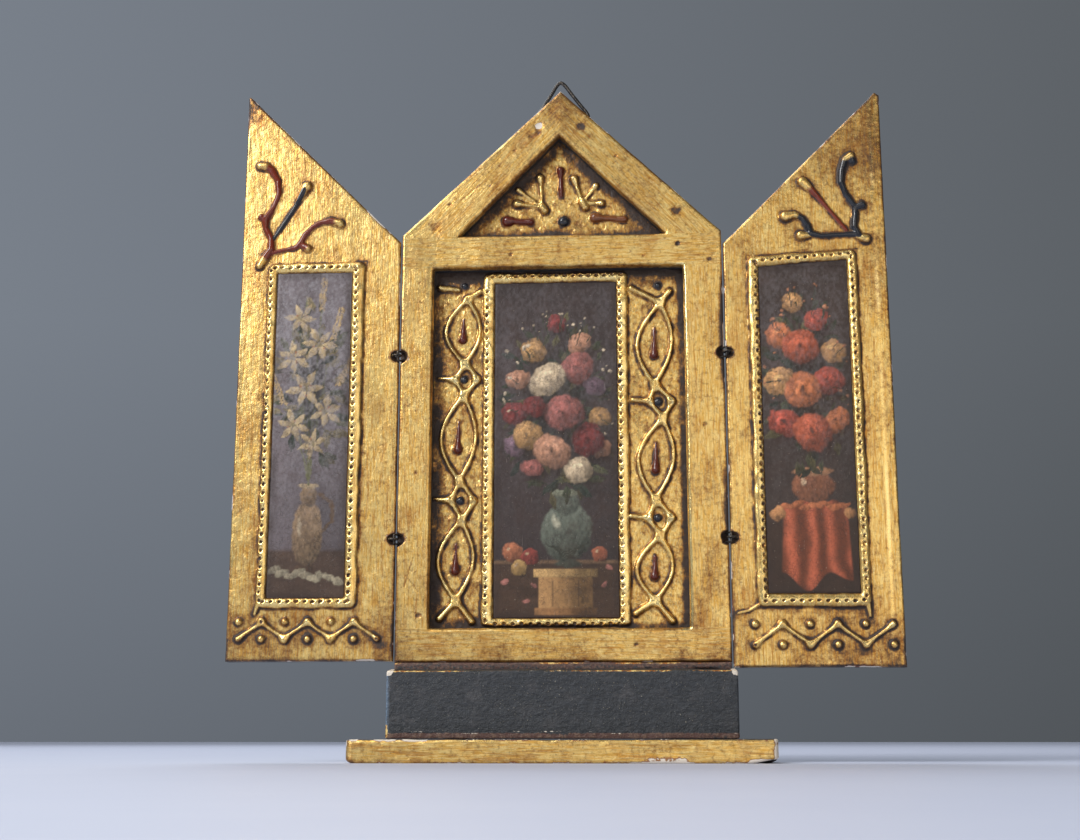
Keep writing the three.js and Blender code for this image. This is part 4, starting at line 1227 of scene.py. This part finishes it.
def lily_painting(x, z):
    p = Painting(x, z, linear(112, 102, 108), 81)
    p.shade(1.0 + 0.22 * noise(x, z, (12, 20), 82, 3))
    p.lay(fade(z - 20 + 0.3 * x / x.max(), -1, 1.2), linear(92, 68, 52))
    p.shade(1 + 0.2 * noise(x, z, (6, 2), 83, 3) * (z < 20))
    pale, olive, straw = linear(184, 158, 108), linear(140, 124, 80), linear(190, 156, 92)
    # A slim jug with a handle.
    jug = linear(150, 120, 84)
    p.line([(21, 44), (26.5, 41), (27, 32), (22, 27)], 0.9, linear(112, 84, 56))
    p.blob(16.5, 12.4, 5.8, 1.8, 0, linear(96, 70, 50), 0.3, 0.4)
    p.blob(16.5, 27, 7.2, 14.6, 0, jug, 0.12, 0.7)
    p.blob(16.5, 43, 4.0, 5.2, 0, np.array(jug) * 0.95, 0.2, 0.6)
    p.blob(16.5, 47.4, 5.0, 1.4, 0, linear(182, 156, 112), 0.3, 0.5)
    p.blob(13.2, 30, 1.2, 6.2, 0.1, linear(214, 190, 150), 0.8, 0.0)
    tips = (7, 118), (13, 130), (20, 126), (25, 112), (10, 98), (22, 92), (5, 84)
    p.stems((16.5, 48), tips, 0.5, 0.5, linear(112, 112, 70))
    p.foliage(16, 90, 12, 36, 70, [*LEAF_GREENS[:3], olive], (6, 12))
    # Ears of wheat lean out beside the lilies.
    for ex, ez, lean in ((25, 112, -0.25), (28, 92, -0.5), (4.6, 84, 0.4), (20, 126, -0.05)):
        for k in range(11):
            for way in (-1, 1):
                grain = (ex - lean * 1.4 * k + way * 0.8, ez + 1.35 * k)
                p.blob(*grain, 1.25, 0.6, 1.57 + way * 0.5, straw, 0.3, 0.4)
    for lx, lz, size, turn in (
        (11, 122, 8, 2.0), (8, 104, 8.6, 2.7), (19, 110, 8.8, 0.9), (14, 90, 9.4, 2.2), (23, 80, 8, 0.4),
        (9, 74, 8, 2.9), (17.5, 66, 7.6, 1.4),
    ):
        p.blob(lx, lz - 1, size * 0.62, size * 0.5, 0, linear(60, 50, 46), 0.8, 0.0)
        for k in range(6):
            a = turn + 1.047 * k
            reach = size * (0.52 if k % 2 else 0.42)
            petal = (lx + reach * math.cos(a), lz + reach * math.sin(a), size * 0.5, size * 0.2, a)
            p.blob(*petal, np.array(pale) * p.rng.uniform(0.85, 1.2), 0.25, 0.5, 0.8)
        p.blob(lx, lz, size * 0.16, size * 0.16, 0, olive, 0.5, 0.2)
        for k in range(3):
            a = turn + 0.5 + 2.1 * k
            anther = (lx + 0.3 * size * math.cos(a), lz + 0.3 * size * math.sin(a))
            p.blob(*anther, 0.7, 0.4, a, linear(172, 106, 48), 0.5, 0.2)
    # A dropped cloth on the ledge.
    for k in range(9):
        colour = np.array(linear(176, 164, 132)) * (0.75 + 0.12 * (k % 3))
        p.blob(3 + 3.4 * k, 11.5 - 0.9 * (k % 3) - 0.35 * k, 3.6, 1.7, 0.35 - 0.09 * k, colour, 0.3, 0.7)
    return p.ink


def poppy_painting(x, z):
    p = Painting(x, z, linear(66, 52, 48), 91)
    p.shade(1.0 + 0.25 * noise(x, z, (12, 20), 92, 3) + 0.3 * spot(x - 17, z - 92, 4, 34))
    p.lay(fade(z - 30, -1, 1.0), linear(66, 44, 32))
    red, orange = linear(176, 62, 34), linear(206, 108, 40)
    flame, gold = linear(196, 82, 34), linear(210, 148, 72)
    # A cloth hangs in folds over the ledge.
    fold = 0.5 + 0.5 * np.sin(x * 0.72 + 0.05 * z + 1.6 * noise(x, z, 16, 93, 2))
    hem = 5 + 2.5 * np.sin(x * 0.31) + 2 * noise(x, x * 0, 9, 94)
    cloth = fade(np.abs(x - 20.5) - 0.05 * (38 - z), 12.5, 13.6) * fade(hem - z, -0.5, 0.5)
    cloth *= fade(z - 37 - 1.8 * np.sin(x * 0.5), -0.6, 0.6)
    p.lay(cloth, np.outer(0.35 + 1.05 * fold**1.5, flame) + (0.03, 0.012, 0.0))
    for k in range(7):
        pleat = (9 + 3.9 * k, 36.5 + 0.9 * math.sin(k * 2.1), 3.4, 1.5, 0.3 * math.sin(k * 1.3))
        p.blob(*pleat, np.array(orange) * (0.9 + 0.2 * (k % 2)), 0.3, 0.7)
    # A squat copper bowl.
    p.blob(20, 44.6, 9.6, 7.4, 0, linear(150, 86, 48), 0.12, 0.8)
    p.blob(20, 51.0, 9.4, 2.2, 0, linear(190, 128, 78), 0.25, 0.5)
    p.blob(16, 46.4, 1.7, 2.4, 0.5, linear(236, 196, 150), 0.8, 0.0)
    tips = (8, 112), (15, 124), (24, 118), (31, 104), (6, 88), (32, 84), (20, 100)
    p.stems((20, 52), tips, 0.55, 0.4, linear(70, 74, 44))
    p.foliage(19, 88, 15, 36, 90, LEAF_GREENS)
    for bx, bz, size, colour in (
        (14, 125, 4.6, gold), (24, 117, 5.4, red), (8, 110, 5.6, orange), (31, 103, 5.0, gold),
        (17, 105, 7.2, flame), (28, 90, 6.8, red), (7.5, 90, 6.0, gold), (17.5, 86, 8.0, orange),
        (9, 72, 7.0, red), (31, 73, 5.8, orange), (21, 68, 8.0, flame),
    ):
        p.bloom(bx, bz, size * 1.22, colour, 6, linear(96, 60, 34) if colour is gold else linear(44, 30, 26))
    p.spray(19, 92, 16, 38, 26, linear(196, 120, 70))
    for fx, fz, size in ((5.0, 33, 3.6), (35, 33.2, 3.0)):
        p.blob(fx, fz, size, size * 0.94, 0, linear(196, 130, 62), 0.15, 0.8)
    return p.ink


PAPER_GAP, PAPER_STEP = 0.12, 0.45


def make_picture(name, body, edges, y, paint, painted_glare):
    """A thin card whose front follows a slight cockle, inside the place that `edges` gives it."""
    left, right, low, top, rise = edges
    left, right, low, top = left + PAPER_GAP, right - PAPER_GAP, low + PAPER_GAP, top - PAPER_GAP
    xs = spaced([(left, PAPER_STEP)], right)
    grid_x, share = np.meshgrid(xs, np.linspace(0, 1, round((top - low) / PAPER_STEP) + 1))
    tops = top + rise * (grid_x - left) / (right - left)
    flat = np.column_stack([grid_x.ravel(), (low + (tops - low) * share).ravel()])
    x, z = (flat - (left, low)).T
    n = noise_at(x, z)
    width, tall = right - left, top - low
    ink = paint(x, z)
    edge = np.minimum(np.minimum(x, width - x), np.minimum(z, tall - z))
    # Aged: greyer, darker, brown at the edges and away from the upper left.
    grey = np.outer(ink @ (0.3, 0.55, 0.15), (1.12, 0.98, 0.90))
    ink = mix(ink, grey, 0.22) * 0.80
    darker = 1.12 - 0.34 * fade(x / width * 0.6 + (tall - z) / tall, 1.5, 0.3) + 0.12 * n((9, 16), 95, 3)
    ink *= (darker * (1 + 0.10 * n((0.9, 2.2), 96, 2)))[:, None]
    # A painted grey glare on the old varnish, broken by the paper's weave, most of all at the top.
    weave = np.clip(0.55 + 0.9 * n((0.9, 1.3), 99, 2) + 0.4 * n((5, 12), 100, 2), 0, 1.4)
    greyed = unit(painted_glare * weave * fade(tall - z, 0.25 * tall, 0.95 * tall))
    dirt = 0.60 * fade(edge, 0.2, 4.5) * unit(0.7 + 0.6 * n(8, 97))
    for cover, colour in ((greyed, linear(150, 146, 150)), (dirt, linear(44, 32, 28))):
        ink += (np.array(colour) - ink) * cover[:, None]
    height = 0.5 + 0.05 * n(11, 98, 2) - 0.2 * fade(edge, 0, 0.6)
    board_piece(
        f"{name}_picture_paper", body, f"{name}_picture", (flat, grid_faces(*grid_x.shape), []), y, y,
        height, {"ink": np.column_stack([unit(ink), np.ones(len(x))])}, [PAPER] * 3, rows=1,
    )


def make_pictures():
    make_picture("centre", "centre", (*PICTURE, 0), FLOOR, centre_painting, 0.10)
    for (name, spec), paint in zip(WINGS.items(), (lily_painting, poppy_painting)):
        near, far, low, high, rise = spec["picture"]
        left, right = sorted(spec["side"] * (EDGE_X + u) for u in (near, far))
        edges = (left, right, spec["bottom"] + low, spec["bottom"] + high, rise)
        make_picture(name, f"{name}_wing", edges, FRONT, paint, spec["bloom"])


# ---- Plinth and foot: bars swept along X ----


def corner_by_corner(corners):
    """Each corner of a closed outline, between the one before it and the one after it."""
    return zip(np.roll(corners, 1, 0), corners, np.roll(corners, -1, 0))


def rounded_section(corners, radii, step):
    """Points and outward normals round a section in (y, z) whose corners are rounded."""
    corners = np.array(corners, float)
    points, normals = [], []
    for (before, corner, after), radius in zip(corner_by_corner(corners), radii):
        arriving, leaving = (way / np.hypot(*way) for way in (corner - before, after - corner))
        first, last = np.array([(arriving[1], -arriving[0]), (leaving[1], -leaving[0])])
        middle = corner - (first + last) * radius / (1 + first @ last)
        for t in np.linspace(0, 1, 5):
            way = mix(first, last, t)
            way = way / np.hypot(*way)
            points.append(middle + way * radius)
            normals.append(way)
    found = []
    for a, b, na, nb in zip(points, points[1:] + points[:1], normals, normals[1:] + normals[:1]):
        for t in np.linspace(0, 1, max(1, round(np.hypot(*(b - a)) / step)) + 1)[:-1]:
            found.append((mix(a, b, t), mix(na, nb, t)))
    return np.array(found).transpose(1, 0, 2)


def bar_piece(name, node, half, section, step, end_radius, shape, tone, materials, pick):
    """A bar along X. `shape` moves its points, `tone` colours them, and `pick` chooses a face's material
    from its outward direction in (y, z)."""
    ring, normals = section
    xs = spaced([(-half, 0.15), (-half + end_radius, step), (half - end_radius, 0.15)], half)
    inset = rounded_off(half - np.abs(xs), end_radius)
    across = ring[None] - normals[None] * inset[:, None, None]
    # Each end has an inner ring, so that wear on its arris stays there.
    ends = mix(across[[0, -1]], ring.mean(0), 0.35)
    across = np.concatenate([ends[:1], across, ends[1:]])
    xs = np.concatenate([xs[:1], xs, xs[-1:]])
    rows, columns = len(xs), len(ring)
    ny, nz = np.tile(normals, (rows, 1)).T
    x, y, z = shape(np.repeat(xs, columns), *across.reshape(-1, 2).T, ny, nz)
    quads = grid_faces(rows, columns, closed_columns=True)
    ids = np.arange(rows * columns).reshape(rows, columns)
    faces = quads.tolist() + [ids[-1].tolist(), ids[0][::-1].tolist()]
    slots = pick(*np.tile(normals, (rows - 1, 1)).T)
    slots[:columns] = slots[-columns:] = 1
    colours = {"tone": tone(x, y, z, ny, nz), "lacquer": np.zeros((len(x), 4))}
    shaded = [True] * len(quads) + [False, False]
    points = np.column_stack([x, y, z])
    mesh_piece(name, "centre", node, points, faces, materials, [*slots, 1, 1], shaded, colours)


PLINTH_LOW, PLINTH_HIGH = box_mm("plinth_block")
FOOT_LOW, FOOT_HIGH = box_mm("foot_board")
STEP_Y, STEP_Z, ARRIS_Z = 1.5, 37.9, 36.9  # the foot of the plinth's fillet, and the top of its front


def make_plinth():
    half, back, top = PLINTH_HIGH
    front, low = PLINTH_LOW[1:]
    corners = [(front, low), (back, low), (back, STEP_Z), (STEP_Y, STEP_Z), (front, ARRIS_Z)]
    section = rounded_section(corners, [0.6, 0.6, 0.5, 0.2, 1.1], 0.75)

    def shape(x, y, z, ny, nz):
        dip = np.minimum(0.20 * noise(x, y + z, 16, 401, 3) - 0.20 + 0.08 * noise(x, y + z, 2.2, 402, 2), 0)
        return x, y + ny * dip, z + nz * dip * (z > low + 2)

    def tone(x, y, z, ny, nz):
        n = noise_at(x, x * 0)
        ends = half - np.abs(x)
        facing, left = ny < 0, x < 0
        wash_and_shade = 0.85 * fade(z - low, 1.7, 3.0) * facing * unit(1.0 + 0.6 * noise(x, z, (16, 3), 403))
        arris = spot(y - front, z - ARRIS_Z, 0.3, 1.2)
        gold = 0.9 * arris * unit(0.72 + n(17, 404, 2))
        gold = np.maximum(gold, 0.9 * fade(ends, 0.2, 1.8) * band(z - 12.5, 1.5, 4) * left)
        line = band(z - low - 2.6 - 0.5 * n(12, 408, 2), 0.1, 0.7)
        chip = np.max([
            spot(ends - 0.6, z - ARRIS_Z + 0.4, 1.0, 3.0) * (ny < 0.3),
            0.42 * fade(ends, 0.0, 0.9) * unit(0.5 + noise(z, x * 0, 6, 405)) * (y < front + 1.5),
            0.52 * line * unit(0.4 + 1.2 * n(6, 406, 3)) * facing,
            0.5 * arris * unit(n(7, 407, 2) * 1.8),
        ], 0)
        # A bluish painted highlight over worn paint, down the left end's front arris.
        bluish = 0.85 * fade(ends, 0.3, 1.5) * left * (y < front + 2)
        return tone_of(np.maximum(wash_and_shade, 0.5 * arris * (1 - gold)), gold, chip, bluish)

    def pick(ny, nz):
        return np.where((ny > 0.7) | (nz < -0.7), 1, 0)

    paints = [PAINT, PAINT_BACK]
    bar_piece(
        "plinth_painted", "plinth_block", half, section, 0.8, 0.9, shape, tone, paints, pick
    )

    corners = [(STEP_Y, STEP_Z - 0.4), (back, STEP_Z - 0.4), (back, top), (STEP_Y, top)]
    section = rounded_section(corners, [0.2, 0.3, 0.3, 0.9], 0.8)

    def fillet_shape(x, y, z, ny, nz):
        return x, y, z + nz * np.minimum(0.25 * noise(x, y, 12, 412, 3), 0)

    def fillet_tone(x, y, z, ny, nz):
        worn = spot(y - STEP_Y, z - top, 0.4, 1.6) * unit(0.45 + noise(x, x * 0, 14, 411, 3))
        return tone_of(0.50 + 0.3 * worn, 0.7 * worn, 0.3 * worn * (np.abs(x) > 55))

    bar_piece(
        "plinth_fillet", "plinth_block", frame_high[0] - 0.2, section, 0.9, 0.6, fillet_shape, fillet_tone,
        paints, pick,
    )


def make_foot():
    half, back, top = FOOT_HIGH
    front, corner = FOOT_LOW[1], 3.0
    section = rounded_section([(front, 0), (back, 0), (back, top), (front, top)], [1.0, 0.5, 0.6, 1.2], 0.7)

    def shape(x, y, z, ny, nz):
        near = np.clip(corner - (half - np.abs(x)), 0, corner)
        shrink = corner - np.sqrt(corner**2 - near**2)
        share = (back - y) / (back - front)
        wave = 0.35 * np.minimum(noise(x, z, (13, 5), 421, 3) - 0.1, 0)
        wave += 0.10 * np.minimum(noise(x, z, 2.4, 422, 2), 0)
        worn_off = 1.9 * smooth((x - half + 15) / 15) ** 1.6 + 1.0 * smooth((-x - half + 4) / 4) ** 2
        lifted = (z > 0.5) * nz * wave + worn_off * (1 - z / top) * share**3
        return x, y + 0.9 * shrink * share + ny * wave, z + lifted

    def tone(x, y, z, ny, nz):
        along, end, n = noise_at(x, x * 0), noise_at(z, y), noise_at(x, z)
        ends, middle = half - np.abs(x), np.abs(x - 42)
        front_face, front_end, right, left = y < front + 2, y < front + 3, x > 0, x < 0
        wash_and_shade = 0.02 + 0.24 * noise(x, z + y, (13, 5), 423, 3)
        wash_and_shade += 0.5 * fade(ends, 0.5, 9) * unit(0.4 + n(4, 424)) + 0.2 * fade(z, 0.2, 2.0)
        rubbed_and_highlight = 0.5 * band(z - top + 1.0, 0.2, 1.2) * unit(0.4 + along(11, 425, 2))
        upper = fade(top - z, 0.4, 1.5) * (band(x + 64, 12, 22) + 0.42)
        lower = fade(z, 0.1, 1.2) * (1.1 * band(x - 40, 9, 14) + 0.6)
        chips = np.max([
            upper * unit(0.65 + along(4.6, 426, 2)) * front_face,
            lower * unit(0.5 + along(6, 427, 2)) * front_face,
            0.55 * band(z - 1.2, 0.6, 1.8) * fade(middle, 6, 13) * front_face,
            1.1 * fade(ends, 1.2, 2.8) * right * front_end * unit(1.05 + 0.4 * end(2.5, 428)),
            1.1 * fade(z, 1.0, 2.2) * fade(ends, 12, 22) * right * front_face * unit(0.75 + n(3, 430)),
            0.7 * fade(ends, 0.2, 1.2) * left * front_end * unit(0.4 + end(2.5, 429)),
        ], 0)
        return tone_of(np.clip(wash_and_shade, 0, 1.1), rubbed_and_highlight, chips)

    def pick(ny, nz):
        return np.where(ny < -0.35, 0, np.where(nz > 0.5, 2, 3))

    bar_piece(
        "foot_board_gilded", "foot_board", half, section, 0.75, 1.3, shape, tone,
        [GILT_ACROSS, GILT_ACROSS, PAINT, PAINT_BACK], pick,
    )


# ---- Wires ----


def curve_through(points, per_span, closed=False):
    """A centripetal Catmull-Rom curve through 3D points."""
    p = np.array(points, float)
    p = np.vstack([p[-1], p, p[:2]] if closed else [2 * p[0] - p[1], p, 2 * p[-1] - p[-2]])
    curve = []
    for four in zip(p, p[1:], p[2:], p[3:]):
        gaps = [np.linalg.norm(b - a) ** 0.5 for a, b in zip(four, four[1:])]
        knots = np.cumsum([0.0, *gaps])
        for t in np.linspace(knots[1], knots[2], per_span + 1)[:-1]:
            level = four
            for spans in (((0, 1), (1, 2), (2, 3)), ((0, 2), (1, 3)), ((1, 2),)):
                level = [
                    mix(a, b, (t - knots[i]) / (knots[j] - knots[i]))
                    for a, b, (i, j) in zip(level, level[1:], spans)
                ]
            curve.append(level[0])
    return np.array(curve if closed else [*curve, p[-2]])


def wire_piece(name, body, route, radius, per_span=6, sides=12, closed=False):
    path = curve_through(route, per_span, closed)
    ahead = np.roll(path, -1, 0) - np.roll(path, 1, 0)
    if not closed:
        ahead[0], ahead[-1] = path[1] - path[0], path[-1] - path[-2]
    ahead /= np.linalg.norm(ahead, axis=1)[:, None]
    side = np.cross(ahead[0], (0.31, 0.17, 0.94))
    rings = []
    angles = np.linspace(0, 2 * np.pi, sides, endpoint=False)[:, None]
    for i, (at, way) in enumerate(zip(path, ahead)):
        side = side - way * (side @ way)
        side /= np.linalg.norm(side)
        thick = radius * (1 - 0.05 * (1 + math.sin(2.1 * i)) / 2)
        rings.append(at + thick * (np.cos(angles) * side + np.sin(angles) * np.cross(way, side)))
    faces = grid_faces(len(path), sides, closed, True).tolist()
    shaded = [True] * len(faces)
    if not closed:
        ids = np.arange(len(path) * sides).reshape(-1, sides)
        faces += [ids[0][::-1].tolist(), ids[-1].tolist()]
        shaded += [False, False]
    points, slots = np.concatenate(rings), [0] * len(faces)
    mesh_piece(f"{name}_wire", body, name, points, faces, [WIRE], slots, shaded, {})


# Half a hinge staple's route: how far it is from the axis into the panel, and up from its middle.
STAPLE_ROUTE = [(6.6, 1.9), (3.0, 1.9), (0.3, 1.9), (0.0, 1.0)]
HANGER_FOOT = 288.2
HANGER_CORNERS = np.array([(-0.6, 307.1), (13.2, HANGER_FOOT), (-12.0, HANGER_FOOT)])


def hinge_wires(side, hinge, body, z):
    axis = np.array([side * AXIS_X, AXIS_Y, z])
    out = np.array([AXIS_X - HALF, 0, 0]) * side
    forward = np.array([0, FRONT - AXIS_Y, 0])
    to_panel, to_wing = ((way + forward) / np.linalg.norm(way + forward) for way in (-out, out))
    route = [axis + to_panel * reach + (0, 0, dz) for reach, dz in STAPLE_ROUTE]
    route += [axis + to_panel * reach - (0, 0, dz) for reach, dz in reversed(STAPLE_ROUTE)]
    wire_piece(f"{hinge}_staple", "centre", route, 0.46, 5)
    turn = math.atan2(to_wing[1], to_wing[0])
    eye = [axis + to_wing * 7.0, axis + to_wing * 4.4]
    for angle in turn + np.linspace(0.25, 2 * math.pi - 0.25, 11):
        eye.append(axis + to_wing * 0.6 + (1.75 * math.cos(angle), 1.75 * math.sin(angle), 0))
    wire_piece(f"{hinge}_ring", body, [*eye, axis + to_wing * 3.6], 0.45, 4)


def make_wires():
    for name, spec in WINGS.items():
        for level, z in zip(("lower", "upper"), HINGES):
            hinge_wires(spec["side"], f"{name}_{level}", f"{name}_wing", z)
    low, high = box_mm("hanger_ring")
    y = (low[1] + high[1]) / 2
    route = []
    for before, corner, after in corner_by_corner(HANGER_CORNERS):
        start, end = (corner + 2.5 * (p - corner) / np.hypot(*(p - corner)) for p in (before, after))
        middle = mix((start + end) / 2, corner, 0.4)
        route += [start, middle, end, mix(end, after, 0.33), mix(end, after, 0.6)]
    wire_piece("hanger_ring", "centre", [(x, y, z) for x, z in route], 0.86, 5, 14, closed=True)
    crown = box_mm("hanger_staple")[1][1] - 0.6
    half = [(BACK - 6, 2.1), (BACK - 2, 2.1), (crown - 1, 2.1), (crown, 1.1)]
    half += [(y, -dz) for y, dz in reversed(half)]
    route = [(0, y, HANGER_FOOT + dz) for y, dz in half]
    wire_piece("hanger_staple", "centre", route, 0.58)


# ---- Floor, light and camera ----


def placed(name, data, place=(0, 0, 0), turn=(0, 0, 0)):
    made = bpy.data.objects.new(name, data)
    made.location, made.rotation_euler = place, turn
    bpy.context.scene.collection.objects.link(made)
    return made


def area_light(name, place, target, width, height, power, colour):
    light = bpy.data.lights.new(name, "AREA")
    light.shape, light.size, light.size_y = "RECTANGLE", width, height
    light.energy, light.color = power, colour
    placed(name, light, place, (Vector(target) - Vector(place)).to_track_quat("-Z", "Y").to_euler())


def make_floor():
    mesh = bpy.data.meshes.new("floor")
    mesh.from_pydata([(x, y, 0) for x, y in rectangle(-4, 4, -4, 4)], [], [(0, 1, 2, 3)])
    s = Shader("floor")
    tint = s.blend(s.noise(60.0, 3.0), linear(190, 197, 218), linear(197, 203, 222))
    mesh.materials.append(s.finish(Base_Color=tint, Roughness=0.55))
    placed("floor", mesh)


def make_backdrop():
    """A pale grey round the scene, darker to the right and brighter upwards."""
    world = bpy.data.worlds.new("backdrop")
    bpy.context.scene.world = world
    world.use_nodes = True
    tree = world.node_tree
    where = add_node(tree, "TexCoord", {}).outputs["Generated"]
    x, _, z = add_node(tree, "SeparateXYZ", {0: where}).outputs
    across = add_node(tree, "MapRange", {"Value": x, "From Min": -0.42, "From Max": 0.38}).outputs[0]
    span = {"From Min": 0.0, "From Max": 0.26, "To Min": 0.78, "To Max": 1.04}
    rising = add_node(tree, "MapRange", {"Value": z, **span}).outputs[0]
    ends = {6: (*linear(120, 127, 137), 1), 7: (*linear(88, 92, 96), 1)}
    tint = add_node(tree, "Mix", {0: across, **ends}, data_type="RGBA").outputs[2]
    feed(tree, tree.nodes["Background"], {"Color": tint, "Strength": rising})


def light_and_camera():
    area_light("window", (-1.05, -1.15, 1.0), (0, 0, 0.15), 0.6, 0.8, 19.0, (1.0, 0.99, 0.97))
    area_light("room", (0.55, -1.35, 0.35), (0, 0, 0.10), 1.4, 0.8, 4.6, (1.0, 0.89, 0.72))
    area_light("behind", (-0.5, 0.95, 1.35), (0, 0, 0.1), 1.2, 1.0, 12, (0.96, 0.98, 1.0))
    sky = bpy.data.lights.new("sky", "SUN")
    sky.energy, sky.angle, sky.color = 1.3, 0.9, (1.0, 0.98, 0.96)
    placed("sky", sky, turn=(math.radians(28), math.radians(-34), 0))
    camera = bpy.data.cameras.new("camera")
    camera.lens, camera.sensor_width = 50, 36
    camera.clip_start, camera.clip_end = 0.02, 50
    turn = (math.radians(102), 0, math.radians(3))
    bpy.context.scene.camera = placed("camera", camera, (0.0237014, -0.625119, 0.0095), turn)
    bpy.context.scene.view_settings.view_transform = "Standard"


make_floor()
make_backdrop()
light_and_camera()
make_frame()
make_back_board()
for wing_name, wing_spec in WINGS.items():
    make_wing(wing_name, wing_spec)
make_pictures()
make_plinth()
make_foot()
make_wires()
